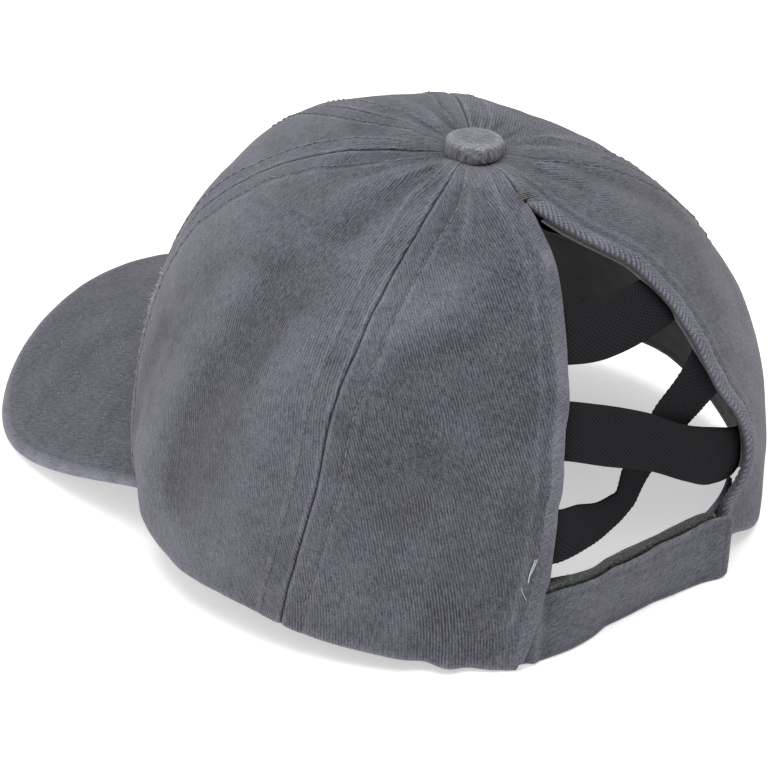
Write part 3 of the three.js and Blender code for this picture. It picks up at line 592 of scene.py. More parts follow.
wander = number(tree, "MULTIPLY", number(tree, "SUBTRACT", noise(tree, place_mm, 0.05, 1.0), 0.5), 1.6)
line_at = number(tree, "ADD", number(tree, "DIVIDE", over_line, g_in.outputs["Pitch"]), wander)
line = from_zero(tree, sine(tree, line_at, 1))
thread_at = number(tree, "DIVIDE", along_line, CROSS_THREAD)
knot = from_zero(tree, sine(tree, number(tree, "ADD", thread_at, number(tree, "MULTIPLY", line_at, 0.5)), 1))
lint = noise(tree, place_mm, 1.9, 3.0, 0.75)
drawn = tree.nodes.new("ShaderNodeCombineXYZ")
feed(tree, drawn.inputs[0], number(tree, "MULTIPLY", over_line, 1.5))
feed(tree, drawn.inputs[1], number(tree, "MULTIPLY", along_line, 0.42))
streak = noise(tree, drawn.outputs[0], 1.0, 2.0, 0.6)
clear = ranged(tree, noise(tree, place_mm, 0.055, 2.0), 0.35, 0.65, 0.35, 1.0)
clear = number(tree, "MULTIPLY", clear, g_in.outputs["Clear"])
ribbed = number(tree, "MULTIPLY", line, number(tree, "MULTIPLY_ADD", knot, 0.35, 0.65))
height = number(tree, "MULTIPLY_ADD", ribbed, clear, number(tree, "MULTIPLY", lint, 0.55))
light = number(tree, "MULTIPLY", number(tree, "SUBTRACT", ribbed, 0.42), clear)
light = number(tree, "ADD", number(tree, "MULTIPLY", light, 0.46), number(tree, "MULTIPLY", lint, 1.2))
light = number(tree, "ADD", light, number(tree, "MULTIPLY", streak, 0.8))
tree.links.new(height, g_out.inputs["Height"])
tree.links.new(number(tree, "SUBTRACT", light, 0.5), g_out.inputs["Light"])

# Washed dye: patches where it faded, a slight olive cast, pale wear on ridges mixed with painted light,
# and painted shade that darkens grooves.
dye_group, g_in, g_out = socketed(
    "washed_dye",
    [
        ("Place", "Vector", None), ("Light", "Float", 0.5), ("Contrast", "Float", 1.0),
        ("Worn", "Float", 0.0), ("Deep", "Float", 0.0),
        ("Dye", "Color", (0.1, 0.1, 0.12, 1)), ("Faded", "Color", (0.2, 0.2, 0.22, 1)),
    ],
    [("Color", "Color")],
)
tree = dye_group
place_mm = scaled(tree, g_in.outputs["Place"], MAP_UNIT)
patch = noise(tree, place_mm, 0.085, 4.0, 0.62)
cast = noise(tree, scaled(tree, g_in.outputs["Place"], -MAP_UNIT), 0.05, 3.0, 0.6)
speck = noise(tree, place_mm, 3.1, 1.0, 0.5)
amount = number(tree, "SUBTRACT", g_in.outputs["Light"], 0.5)
amount = number(tree, "MULTIPLY", amount, g_in.outputs["Contrast"])
amount = number(tree, "ADD", amount, number(tree, "MULTIPLY", number(tree, "SUBTRACT", patch, 0.5), 0.2))
amount = number(tree, "ADD", amount, ranged(tree, patch, 0.42, 0.54, -0.015, 0.015))
fray = ranged(tree, noise(tree, place_mm, 2.3, 2.0, 0.7), 0.35, 0.65, 0.25, 0.62)
amount = number(tree, "ADD", amount, number(tree, "MULTIPLY", g_in.outputs["Worn"], fray))
pale_fibre = number(tree, "MULTIPLY", number(tree, "GREATER_THAN", speck, 0.74), 0.4)
amount = number(tree, "ADD", number(tree, "ADD", amount, pale_fibre), 0.22)
amount = number(tree, "MINIMUM", number(tree, "MAXIMUM", amount, 0.0), 1.0)
ramped = mixed(tree, amount, g_in.outputs["Dye"], g_in.outputs["Faded"])
olive = mixed(tree, ranged(tree, cast, 0.5, 0.72, 0.0, 0.45), ramped, (0.93, 1.0, 0.84, 1), "MULTIPLY")
# Painted shade: the colour is darkened towards near black as far as the piece's shade mark says.
with_painted_shade = mixed(tree, number(tree, "MULTIPLY", g_in.outputs["Deep"], 0.8), olive, (0.012, 0.012, 0.015, 1))
tree.links.new(with_painted_shade, g_out.inputs["Color"])


def surface(name, roughness, sheen=0.0, shine=0.18):
    """A new cloth material, its tree and its Principled BSDF."""
    made = bpy.data.materials.new(name)
    made.use_nodes = True
    shader = made.node_tree.nodes["Principled BSDF"]
    shader.inputs["Roughness"].default_value = roughness
    shader.inputs["Sheen Weight"].default_value = sheen
    shader.inputs["Sheen Roughness"].default_value = 0.55
    shader.inputs["Specular IOR Level"].default_value = shine
    return made, made.node_tree, shader


def grouped(tree, group, **values):
    """A node group placed in a material, with its named inputs fed."""
    made = tree.nodes.new("ShaderNodeGroup")
    made.node_tree = group
    for label, value in values.items():
        feed(tree, made.inputs[label], value)
    return made


def mapped(tree, label):
    """A place on a piece's own map, such as its weave."""
    made = tree.nodes.new("ShaderNodeUVMap")
    made.uv_map = label
    return made.outputs[0]


def marked(tree, label):
    """A mark given to the piece's points, such as their wear with painted light, and their painted shade."""
    made = tree.nodes.new("ShaderNodeAttribute")
    made.attribute_name = label
    return made.outputs["Fac"]


def bumped(tree, shader, height, strength, distance):
    """Lets a height show as relief, at most that many metres deep."""
    made = tree.nodes.new("ShaderNodeBump")
    made.inputs["Strength"].default_value = strength
    made.inputs["Distance"].default_value = distance
    tree.links.new(height, made.inputs["Height"])
    tree.links.new(made.outputs[0], shader.inputs["Normal"])


def ribs(tree, vector, direction, scale, distortion=0.0):
    """Even ribs, such as those of a tape or a twisted thread, from 0 to 1."""
    made = tree.nodes.new("ShaderNodeTexWave")
    made.bands_direction = direction
    made.inputs["Scale"].default_value = scale
    made.inputs["Distortion"].default_value = distortion
    tree.links.new(vector, made.inputs["Vector"])
    return made.outputs["Fac"]


def twill_cloth(
    name, grain=22.0, pitch=0.75, clear=1.0, contrast=1.0, sheen=0.12, shine=0.18,
    dye=(0.029, 0.029, 0.038, 1), faded=(0.212, 0.212, 0.255, 1),
):
    """Washed twill with its lines `grain` degrees off the weave map's second axis."""
    made, tree, shader = surface(name, 0.93, sheen, shine)
    place = mapped(tree, "weave")
    lines = grouped(tree, twill_group, Place=place, Grain=math.radians(grain), Pitch=pitch, Clear=clear)
    colour = grouped(
        tree, dye_group, Place=place, Light=lines.outputs["Light"], Worn=marked(tree, "wear_and_painted_light"),
        Deep=marked(tree, "painted_shade"), Dye=dye, Faded=faded, Contrast=contrast,
    )
    tree.links.new(colour.outputs["Color"], shader.inputs["Base Color"])
    bumped(tree, shader, lines.outputs["Height"], 0.55, 0.00022)
    return made


crown_outside = twill_cloth("crown_twill")
# Painted shade: the inner faces get a much darker copy of the twill, standing in for the shade inside the
# crown.
crown_inside_painted_shade = twill_cloth(
    "crown_twill_inside_painted_shade", sheen=0.0, shine=0.03,
    dye=(0.003, 0.003, 0.0036, 1), faded=(0.03, 0.03, 0.033, 1),
)
GORE_CUTS = {  # flat width and length of each cut gore in metres, and its area in square metres
    "crown_front_left": (0.088, 0.128, 0.0067),
    "crown_side_left": (0.098, 0.140, 0.0114),
    "crown_back_left": (0.068, 0.142, 0.0080),
    "crown_back_right": (0.076, 0.142, 0.0090),
    "crown_side_right": (0.098, 0.140, 0.0114),
    "crown_front_right": (0.088, 0.128, 0.0067),
}
for name, piece in crown_pieces.items():
    piece.data.materials.append(crown_outside)
    piece.data.materials.append(crown_inside_painted_shade)
    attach(piece, "root")
    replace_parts(piece, name)
    wide, long, cut = GORE_CUTS[name]

# Topstitching of the crown seams
# Two rows of cotton thread beside each seam, about six millimetres off it, that hold the pressed-open
# allowances down. Each stitch is a short soft arch of thread that dives into the cloth at both ends.
STITCH, STITCH_GAP = 2.5, 0.55
STITCH_RADII = 0.23 * np.array([0.55, 0.9, 1.0, 1.0, 0.9, 0.55])
ROW_START, ROW_END = 0.075, 0.985  # a seam row's ends, as shares of the gore


def resampled(path, at):
    """Points of a polyline at the given lengths along it, and its whole length."""
    far = np.concatenate([[0], np.cumsum(np.linalg.norm(np.diff(path[:, :3], axis=0), axis=1))])
    return np.stack([np.interp(at, far, path[:, k]) for k in range(path.shape[1])], -1), far[-1]


def tubes(name, lines, ups, radii, sides=6, flat=1.0):
    """One mesh of many tubes. Lines and ups are (tube, ring, 3) arrays, radii (ring,) or (tube, ring)."""
    count, rings = lines.shape[:2]
    along = unit(np.gradient(lines, axis=1))
    side = unit(np.cross(along, ups))
    up = np.cross(side, along)
    radii = np.broadcast_to(radii, (count, rings))[..., None, None]
    turn = np.linspace(0, 2 * np.pi, sides, endpoint=False)[None, None, :, None]
    out = np.cos(turn) * side[:, :, None] + flat * np.sin(turn) * up[:, :, None]
    ring = lines[:, :, None] + radii * out
    base = (np.arange(count) * rings * sides)[:, None, None]
    r, k = np.arange(rings - 1)[None, :, None], np.arange(sides)[None, None]
    after = (k + 1) % sides
    here, beyond = base + r * sides, base + (r + 1) * sides
    quads = np.stack([here + k, here + after, beyond + after, beyond + k], -1).reshape(-1, 4)
    ends = []
    for tube in range(count):
        low = tube * rings * sides
        high = low + (rings - 1) * sides
        for m in range(1, sides - 1, 2):
            ends.append([low, low + (m + 2) % sides, low + m + 1, low + m])
            ends.append([high, high + m, high + m + 1, high + (m + 2) % sides])
    faces = np.concatenate([quads, np.array(ends)])
    length = np.broadcast_to(np.linspace(0, rings / 10, rings)[None, :, None], (count, rings, sides))
    round_it = np.broadcast_to(turn[..., 0] / 60, (count, rings, sides))
    start = np.broadcast_to(np.arange(count)[:, None, None] * 0.37, (count, rings, sides))
    return make_mesh(name, at_rest(ring), faces, np.stack([round_it, length + start], -1))


def stitch_row(path, ups, draw):
    """Centre lines of the stitches that follow a path, as (stitch, ring, 3) arrays."""
    joined = np.concatenate([path, ups], 1)
    _, total = resampled(joined, np.array([0.0]))
    count = int(total / (STITCH + STITCH_GAP))
    starts = np.arange(count) * total / count + draw.uniform(-0.08, 0.08, count)
    inside = np.linspace(0, 1, 6)
    at = starts[:, None] + inside[None] * STITCH
    sampled, _ = resampled(joined, at.ravel())
    sampled = sampled.reshape(count, len(inside), 6)
    line, up = sampled[..., :3], unit(sampled[..., 3:])
    arch = 0.20 * np.sin(np.pi * inside) ** 0.6 - 0.16
    sway = draw.uniform(-0.12, 0.12, (count, 1, 1)) * (inside[None, :, None] - 0.5)
    return line + up * arch[None, :, None] + sway * np.cross(up, unit(np.gradient(line, axis=1))), up


def crown_row(first, last, edge, side, hem_of, distance, start, seed):
    """The path of a stitched row beside a gore's edge, and its outward directions."""
    share = np.linspace(start, ROW_END, 500)
    middle = edge(share)
    scale = np.minimum(1, gore_width(first, last, share) / NARROW)
    angle = middle + side * np.degrees(distance * scale / radius_at(middle, share))
    hem = hem_of(share)
    d = distance + 0 * share
    shift = LAST_EDGE_SHIFT if side < 0 else 0
    high = scale * (seam_profile(d, hem) + seam_pucker(d, share * GORE, hem, shift, seed))
    return skin(angle, share, high + 0.12), crown_normal(angle, share)


stitch_draw = np.random.default_rng(5)
seam_rows, hem_rows = [], []
for gore_number, (name, first, last, hem0, hem1) in enumerate(GORES):
    for edge, side, hem_of in ((first, 1, hem0), (last, -1, hem1)):
        at_opening = hem_of is opening_hem
        distance, start = (HEM_ROW, SLIT + 0.03) if at_opening else (SEAM_ROW, ROW_START)
        path, up = crown_row(first, last, edge, side, hem_of, distance, start, PUCKER_SEED + 2 * gore_number)
        (hem_rows if at_opening else seam_rows).append(stitch_row(path, up, stitch_draw))


def sewn(name, rows, material):
    """The stitches of many rows as one piece."""
    lines, ups = (np.concatenate(part) for part in zip(*rows))
    made = tubes(name, lines, ups, STITCH_RADII, flat=0.8)
    made.data.materials.append(material)
    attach(made, "root")


def thread_material(name, dye, faded):
    """Sewing thread: tightly twisted cotton, dyed with the cloth."""
    made, tree, shader = surface(name, 0.8, 0.1)
    twist = ribs(tree, scaled(tree, mapped(tree, "weave"), 10.0), "DIAGONAL", 9.0)
    fade = noise(tree, mapped(tree, "weave"), 3.0, 2.0)
    tone = mixed(tree, ranged(tree, fade, 0.35, 0.65, 0.0, 1.0), dye, faded)
    tone = mixed(tree, number(tree, "MULTIPLY", twist, 0.35), tone, (0.05, 0.05, 0.06, 1))
    tree.links.new(tone, shader.inputs["Base Color"])
    bumped(tree, shader, twist, 0.5, 0.0001)
    return made


thread_cloth = thread_material("sewing_thread", (0.10, 0.10, 0.108, 1), (0.24, 0.242, 0.225, 1))
hem_thread = thread_material("hem_thread", (0.09, 0.09, 0.103, 1), (0.15, 0.15, 0.165, 1))
sewn("crown_topstitching", seam_rows, thread_cloth)
sewn("hem_topstitching", hem_rows, hem_thread)

# Rolled hem of the ponytail opening
# The two back gores' free edges are turned twice and stitched down. Washing has roped the roll, so it
# shows as a rounded cord of cloth with slanting ridges, paler on their tops from wear and a painted
# highlight, with painted shade between them.
HEM_HALF, HEM_THICK = 2.2, 1.35
ROPE_PITCH = 1.75  # from one slanting ridge to the next


def ring_faces(rows, cols):
    """Faces between closed rings of points, each ring one row of the grid."""
    i, j = np.meshgrid(np.arange(rows - 1), np.arange(cols), indexing="ij")
    k = (j + 1) % cols
    return np.stack([i * cols + j, i * cols + k, (i + 1) * cols + k, (i + 1) * cols + j], -1).reshape(-1, 4)


def hem_roll(name, edge, side, rope):
    """The roll along one edge of the opening, roped by washing as much as `rope` says."""
    share = np.linspace(SLIT + 0.005, 0.992, 360)[:, None]
    along = share * GORE
    turn = np.linspace(0, 2 * np.pi, 20, endpoint=False)[None]
    ridge_at = (along - 1.5 * side * np.cos(turn) * HEM_HALF) / ROPE_PITCH
    slant = 0.5 + 0.5 * np.sin(2 * np.pi * ridge_at + 1.2 * value_noise(along, 0 * along, 6, 61))
    puffed = 1 + 0.06 * value_noise(along, turn, 5, 62)
    shrink = smooth(along, share[0] * GORE, share[0] * GORE + 3) * 0.6 + 0.4
    out = rope * 0.42 * slant
    place = HEM_HALF * (1 - np.cos(turn)) * puffed * shrink - 0.15
    high = -CLOTH / 2 + 0.15 + (HEM_THICK * puffed + out) * np.sin(turn) * shrink
    angle = edge(share) + side * np.degrees(place / radius_at(edge(share), share))
    points = skin(angle, share + 0 * turn, high)
    # Wear with a painted highlight: the roll's outer half is paler, most on the tops of its slanting ridges.
    wear_and_painted_light = np.clip(0.45 + 1.5 * slant**2 * rope + 0.3 * value_noise(along, turn, 8, 63), 0, 1.8)
    wear_and_painted_light = wear_and_painted_light * smooth(np.sin(turn), -0.3, 0.5)
    # Painted shade between the roll's ridges.
    painted_shade = 0.45 * (1 - slant) * rope * smooth(np.sin(turn), -0.2, 0.6)
    weave = np.stack([2 * HEM_HALF * turn / np.pi + 0 * along, along + 0 * turn], -1) / MAP_UNIT
    rows, cols = points.shape[:2]
    start_cap = np.array([[0, m + 2, m + 1, m] for m in range(1, cols - 1, 2)])
    end_cap = start_cap[:, ::-1] + (rows - 1) * cols
    faces = np.concatenate([ring_faces(rows, cols), start_cap, end_cap])
    if side > 0:
        faces = faces[:, ::-1]
    made = make_mesh(name, at_rest(points), faces, weave, [("wear_and_painted_light", wear_and_painted_light), ("painted_shade", painted_shade)])
    made.data.materials.append(hem_cloth)
    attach(made, "root")


hem_cloth = twill_cloth("hem_twill", grain=48, pitch=0.8, clear=0.6, contrast=0.8)
hem_roll("opening_hem_left", edge_left, -1, 0.15)
hem_roll("opening_hem_right", edge_right, 1, 1.0)

# Visor
# A stiff curved board between two cloth faces, joined by a fold along the outer edge. Rows of stitching
# run side by side with that edge, and the fold has worn pale.
ROW_INSET, ROW_APART, VISOR_ROWS = 3.2, 6.4, 8
FOLD_SHARES = np.array([0.86, 0.7, 0.55, 0.4, 0.27, 0.16, 0.07, 0])  # close rows of points at the outer fold


def visor_grid(across_steps, shares):
    """Places of the visor in plan, half its thickness there, and its outer edge."""
    across = np.linspace(1, -1, across_steps)
    eased = across * (1.3 - 0.3 * across**2)
    angle = np.radians(np.clip(eased, -0.975, 0.975) * VISOR_ANGLE)
    in_x, in_y = (RIM_WIDTH - CLOTH) * np.sin(angle), -(RIM_LENGTH - CLOTH) * np.cos(angle)
    turn, half = eased * np.pi / 2, visor_half(np.abs(eased))
    out_x = (CORNER_X - half) * np.sin(turn) + 5.8 * np.sin(2 * turn)
    out_y = CORNER_Y - (VISOR_REACH - half) * np.abs(np.cos(turn)) ** 0.669
    x = in_x[:, None] + (out_x - in_x)[:, None] * shares[None]
    y = in_y[:, None] + (out_y - in_y)[:, None] * shares[None]
    return x, y, half[:, None], np.stack([out_x, out_y], -1)


def visor_normal(x, y):
    """Straight up out of the visor."""
    step = 0.5
    slope_x = visor_height(x + step, y) - visor_height(x - step, y)
    slope_y = visor_height(x, y + step) - visor_height(x, y - step)
    return unit(np.stack([-slope_x, -slope_y, 1 + 0 * slope_x], -1))


def edge_distance(x, y, outline):
    """How far a place of the visor lies inside its outer edge, in plan."""
    a, b = outline[:-1], outline[1:]
    best = np.full(x.shape, 1e9)
    for (ax, ay), (bx, by) in zip(a, b):
        dx, dy = bx - ax, by - ay
        t = np.clip(((x - ax) * dx + (y - ay) * dy) / (dx * dx + dy * dy + 1e-12), 0, 1)
        best = np.minimum(best, np.hypot(x - ax - t * dx, y - ay - t * dy))
    return best


def visor_crease(x, y):
    """The soft unevenness of the visor's upper cloth."""
    return 0.22 * value_noise(x, y, 15, 71) + 0.09 * value_noise(x, y, 6, 72)


visor_shares = np.concatenate([np.linspace(0, 0.965, 92), 1 - 0.035 * FOLD_SHARES])
vx, vy, half, outline = visor_grid(181, visor_shares)
inset = edge_distance(vx, vy, outline)
up = visor_normal(vx, vy)
row_number = (inset - ROW_INSET) / ROW_APART
from_row = np.abs(row_number - np.round(row_number)) * ROW_APART
from_row = np.where(row_number > VISOR_ROWS - 0.5, ROW_APART, from_row)
quilt = -0.12 * hump(from_row, 0, 0.5)
crease = visor_crease(vx, vy) + 0.05 * value_noise(vx, vy, 2.7, 73)
rounding = rounded(inset / 1.3)
middle = np.stack([vx, vy, visor_height(vx, vy)], -1)
top = middle + up * ((half * (1 - 0.62 * rounding) + quilt + crease * (1 - rounding))[..., None])
under = middle - up * ((half * (1 - 0.62 * rounding) - 0.5 * quilt)[..., None])
frayed = 0.8 + 0.35 * value_noise(vx, vy, 4, 74) + 0.25 * smooth(vx, -40, 70)
# Wear with painted light and shade: raised creases are paler and the stitch grooves darker, with a pale line
# beside each row; the outer fold has worn pale.
wear_and_painted_light = np.clip(0.3 + 0.8 * (crease + quilt), 0, 1) * 0.45 + 1.25 * frayed * hump(inset, 0, 2.1)
wear_and_painted_light = wear_and_painted_light + 0.12 * hump(from_row, 0.9, 0.5)
# Painted shade in the stitch rows.
painted_shade = 0.1 * hump(from_row, 0, 0.4)
visor = sheet_piece(
    "visor_board", top, under, np.stack([vx, vy], -1) / MAP_UNIT, [("wear_and_painted_light", wear_and_painted_light), ("painted_shade", painted_shade)]
)
visor.data.materials.append(twill_cloth("visor_twill", grain=-6, clear=0.25, contrast=0.85))
visor.data.materials.append(twill_cloth(
    "visor_twill_under", grain=-6, clear=0.6, dye=(0.055, 0.055, 0.07, 1), faded=(0.17, 0.17, 0.19, 1)
))
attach(visor, "root")
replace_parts(visor, "visor")

run = unit(np.gradient(outline, axis=0))
inward = np.stack([-run[:, 1], run[:, 0]], -1)
inward *= np.sign((inward * (np.array([0, CORNER_Y]) - outline)).sum(1, keepdims=True))
visor_rows = []
for row in range(VISOR_ROWS):
    depth = ROW_INSET + row * ROW_APART
    x, y = (outline + inward * depth).T
    ahead = (x / (RIM_WIDTH + 0.4)) ** 2 + (y / (RIM_LENGTH + 0.4)) ** 2 > 1
    keep = ahead & (y < CORNER_Y - 1) & (edge_distance(x, y, outline) > depth - 0.25)
    x, y = x[keep], y[keep]
    n = visor_normal(x, y)
    over = visor_half(np.clip(np.abs(x) / CORNER_X, 0, 1)) - 0.1 + visor_crease(x, y)
    path = np.stack([x, y, visor_height(x, y)], -1) + n * over[:, None]
    visor_rows.append(stitch_row(path, n, stitch_draw))
sewn("visor_stitching", visor_rows, thread_cloth)

# Facing tapes of the opening
# Two thin woven tapes sewn inside the opening's edges over the raw cloth and the ends of the elastic
# bands. A sliver of each looks out past the rolled hem.
TAPE_WIDE, TAPE_THICK, TAPE_DEEP = 8.6, 0.6, 0.6
TAPE_START, TAPE_END = 0.15, 0.865
TAPE_TUCK = [  # share of the gore, and how far the tape's edge lies in behind the opening's edge there
    (0.15, -0.1), (0.36, 0), (0.42, 0.9), (0.47, 0.9), (0.5, 0.1), (0.56, 0.2), (0.62, 1.2), (0.9, 1.2),
]


def facing_tape(name, edge, side):
    """The named tape inside one edge of the opening, just inside the crown's cloth."""
    share = np.linspace(TAPE_START, TAPE_END, 190)[:, None]
    across = np.linspace(0, 1, 13)[None]
    place = through(TAPE_TUCK, share) + TAPE_WIDE * across
    angle = edge(share) + side * np.degrees(place / radius_at(180 + 0 * share, share))
    soft = 0.3 * (1 - np.sqrt(np.clip(1 - (2 * np.abs(across - 0.5)) ** 6, 0, 1)))
    wave = 0.12 * value_noise(share * GORE, place, 9, 81)
    outer = skin(angle, share + 0 * across, -CLOTH - TAPE_DEEP - soft + wave)
    inner = skin(angle, share + 0 * across, -CLOTH - TAPE_DEEP - TAPE_THICK + soft + wave)
    if side < 0:
        outer, inner, place = outer[:, ::-1], inner[:, ::-1], place[:, ::-1]
    weave = np.stack([place, share * GORE + 0 * place], -1) / MAP_UNIT
    made = sheet_piece(name, outer, inner, weave, inside=False)
    made.data.materials.append(tape_cloth)
    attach(made, "root")
    return made


tape_cloth, tree, shader = surface("facing_tape", 0.85, 0.1)
place_mm = scaled(tree, mapped(tree, "weave"), MAP_UNIT)
rib = ribs(tree, place_mm, "Y", 0.55)
tone = mixed(tree, noise(tree, place_mm, 0.6, 3.0), (0.15, 0.155, 0.15, 1), (0.29, 0.295, 0.28, 1))
tone = mixed(tree, number(tree, "MULTIPLY", rib, 0.3), tone, (0.1, 0.1, 0.1, 1))
tree.links.new(tone, shader.inputs["Base Color"])
bumped(tree, shader, rib, 0.4, 0.0001)
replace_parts(facing_tape("facing_tape_left", edge_left, -1), "opening_tape_left")
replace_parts(facing_tape("facing_tape_right", edge_right, 1), "opening_tape_right")

# Elastic bands across the opening
# Three woven elastic bands, two of them crossing, let a ponytail out at any height. Their ends are sewn
# in under the facing tapes, and the weave shows small raised checks between plain selvedges.
BAND_TUCK, BAND_THICK, BAND_SLACK = 3.6, 1.2, 10.0
CHECK_LONG, CHECK_WIDE = 1.45, 1.2  # one raised check and the gap after it, along and across a band
BANDS = {  # upper edge's angle, share and depth, then the lower edge's; depths are shares of the slack
    "band_top": [
        (158, 0.352, 0, 155, 0.478, 0), (164, 0.353, 0, 160.7, 0.486, 0),
        (175.9, 0.358, 0.13, 172.5, 0.496, 0.18), (186.4, 0.365, 0.13, 186, 0.495, 0.18),
        (195, 0.375, 0, 198, 0.497, 0), (203, 0.38, 0, 204, 0.5, 0),
    ],
    "band_cross_front": [
        (153.5, 0.55, 0, 151.5, 0.668, 0), (159.6, 0.562, 0, 157.8, 0.681, 0),
        (169.5, 0.595, 0.35, 167.2, 0.72, 0.35), (181, 0.651, 0.52, 178.6, 0.768, 0.52),
        (189.8, 0.712, 0.4, 188, 0.822, 0.4), (199, 0.76, 0.22, 196.5, 0.866, 0.22),
        (208, 0.8, 0, 204.5, 0.893, 0), (213, 0.806, 0, 210, 0.884, 0),
    ],
    "band_cross_back": [
        (149.5, 0.768, 0, 149.5, 0.864, 0), (155.2, 0.77, 0, 154.7, 0.866, 0),
        (160.9, 0.785, 0.5, 163.5, 0.867, 0.45), (167.8, 0.807, 0.92, 171.3, 0.862, 0.85),
        (172.8, 0.81, 1.1, 177, 0.848, 1.02), (175.3, 0.764, 1.05, 181.2, 0.815, 1.05),
        (179.6, 0.712, 0.92, 187.5, 0.774, 0.95), (185.6, 0.662, 0.78, 194.3, 0.742, 0.72),
        (192.6, 0.613, 0.35, 198.6, 0.714, 0.35), (198.3, 0.57, 0, 201.5, 0.688, 0),
        (203.5, 0.545, 0, 206, 0.66, 0),
    ],
}
elastic_cloth, tree, shader = surface("woven_elastic", 0.82, 0.0, 0.05)
place_mm = scaled(tree, mapped(tree, "weave"), MAP_UNIT)
apart = tree.nodes.new("ShaderNodeSeparateXYZ")
tree.links.new(place_mm, apart.inputs[0])
check_x, check_y = sine(tree, apart.outputs[0], CHECK_LONG), sine(tree, apart.outputs[1], CHECK_WIDE)
check = from_zero(tree, number(tree, "MULTIPLY", check_x, check_y))
rib = from_zero(tree, sine(tree, apart.outputs[1], 2 * math.pi / 14))
plain = marked(tree, "selvedge")
checked = number(tree, "SUBTRACT", 1.0, plain)
fuzz = noise(tree, place_mm, 2.6, 3.0, 0.7)
weave_high = number(tree, "MULTIPLY", check, checked)
weave_high = number(tree, "ADD", weave_high, number(tree, "MULTIPLY", rib, 0.35))
shown = number(tree, "MULTIPLY", ranged(tree, check, 0.5, 1.0, 0.0, 1.0), checked)
shown = number(tree, "ADD", number(tree, "MULTIPLY", shown, 0.5), number(tree, "MULTIPLY", fuzz, 0.4))
shown = number(tree, "ADD", shown, number(tree, "MULTIPLY", plain, 0.12))
tone = mixed(tree, shown, (0.0065, 0.0062, 0.007, 1), (0.033, 0.032, 0.0355, 1))
tree.links.new(tone, shader.inputs["Base Color"])
bumped(tree, shader, weave_high, 0.6, 0.0002)
for name, path in BANDS.items():
    rows = np.array(path, float)
    stops = np.linspace(0, len(rows) - 1, 41 * (len(rows) - 1))
    read = [through(list(zip(range(len(rows)), rows[:, k])), stops)[None] for k in range(6)]
    w = np.linspace(0, 1, 27)[:, None]
    w = w - 0.02 * np.sin(4 * np.pi * w)
    angle, share = read[0] * (1 - w) + read[3] * w, read[1] * (1 - w) + read[4] * w
    depth = BAND_TUCK + BAND_SLACK * (read[2] * (1 - w) + read[5] * w)
    middle = skin(angle, share, -depth - BAND_THICK / 2, 0)
    spans = np.linalg.norm(np.diff(middle[len(middle) // 2], axis=0), axis=-1)
    length = np.concatenate([[0], np.cumsum(spans)])
    wide = np.linalg.norm(middle[-1] - middle[0], axis=-1).mean()
    round_off = np.sqrt(np.clip(1 - (2 * np.abs(w - 0.5)) ** 10, 0, 1))
    from_edge = wide * (0.5 - np.abs(w - 0.5))
    crimp = 0.09 * np.sin(2 * np.pi * length / CHECK_LONG)[None] * np.exp(-from_edge / 1.2)
    bulge = BAND_THICK / 2 * (0.25 + 0.75 * round_off) + crimp
    bulge = bulge + 0.08 * value_noise(length[None] + 0 * w, 0 * length[None] + w * wide, 5, 83)
    outer = skin(angle, share, -depth - BAND_THICK / 2 + bulge, 0)
    inner = skin(angle, share, -depth - BAND_THICK / 2 - bulge, 0)
    weave = np.stack([length[None] + 0 * w, wide * w + 0 * length[None]], -1) / MAP_UNIT
    selvedge = (1 - smooth(from_edge, 0.9, 1.5)) + 0 * length[None]
    piece = sheet_piece(name + "_elastic", outer, inner, weave, [("selvedge", selvedge)], inside=False)
    piece.data.materials.append(elastic_cloth)
    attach(piece, "root")
    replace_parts(piece, name)

# Button
# A domed metal cap covered in the crown's cloth, whose shank goes through the meeting point of the six
# gores. The cloth is gathered over its side, and its rim has rubbed pale.
BUTTON_SEAT = 107.9183  # how high the middle of its foot lies
BUTTON_TILT = math.radians(10)
ring_turn = np.linspace(0, 2 * np.pi, 144, endpoint=False)[None]
profile = np.array([  # radius and height, from the top's middle round the rim and in under it
    (0.0, 3.85), (0.8, 3.85), (1.6, 3.84), (2.4, 3.82), (3.2, 3.79), (4.0, 3.74), (4.8, 3.67), (5.5, 3.57),
    (6.1, 3.42), (6.6, 3.22), (7.05, 2.96), (7.4, 2.66), (7.65, 2.3), (7.8, 1.9), (7.85, 1.5), (7.8, 1.1),
    (7.62, 0.72), (7.3, 0.42), (6.85, 0.22), (6.3, 0.12), (5.4, 0.06), (4.0, 0.04), (2.0, 0.02),
])
radius, level = profile[:, :1], profile[:, 1:]
arc = np.concatenate([[0], np.cumsum(np.hypot(*np.diff(profile, axis=0).T))])[:, None]
gathered = smooth(level, 3.4, 1.4) * smooth(radius, 5.8, 7.2)
gather = 0.16 * value_noise(ring_turn * 9, level * 0.4, 1.0, 91) + 0.1 * np.sin(23 * ring_turn + 0.6 * level)
dent = 0.10 * value_noise(radius * np.cos(ring_turn), radius * np.sin(ring_turn), 3.2, 92)
dent = dent + 0.05 * value_noise(radius * np.cos(ring_turn), radius * np.sin(ring_turn), 1.3, 93)
r = radius + gathered * gather
lobed = np.stack([r * np.sin(ring_turn), -r * np.cos(ring_turn), level + dent * smooth(level, 0.3, 2.0)], -1)
axis = np.array([1, -1, 0]) / math.sqrt(2)
cos_t, sin_t = math.cos(BUTTON_TILT), math.sin(BUTTON_TILT)
lobed = lobed * cos_t + np.cross(axis, lobed) * sin_t + axis * (lobed @ axis)[..., None] * (1 - cos_t)
lobed = lobed + np.array([0, TOP_BACK, BUTTON_SEAT])
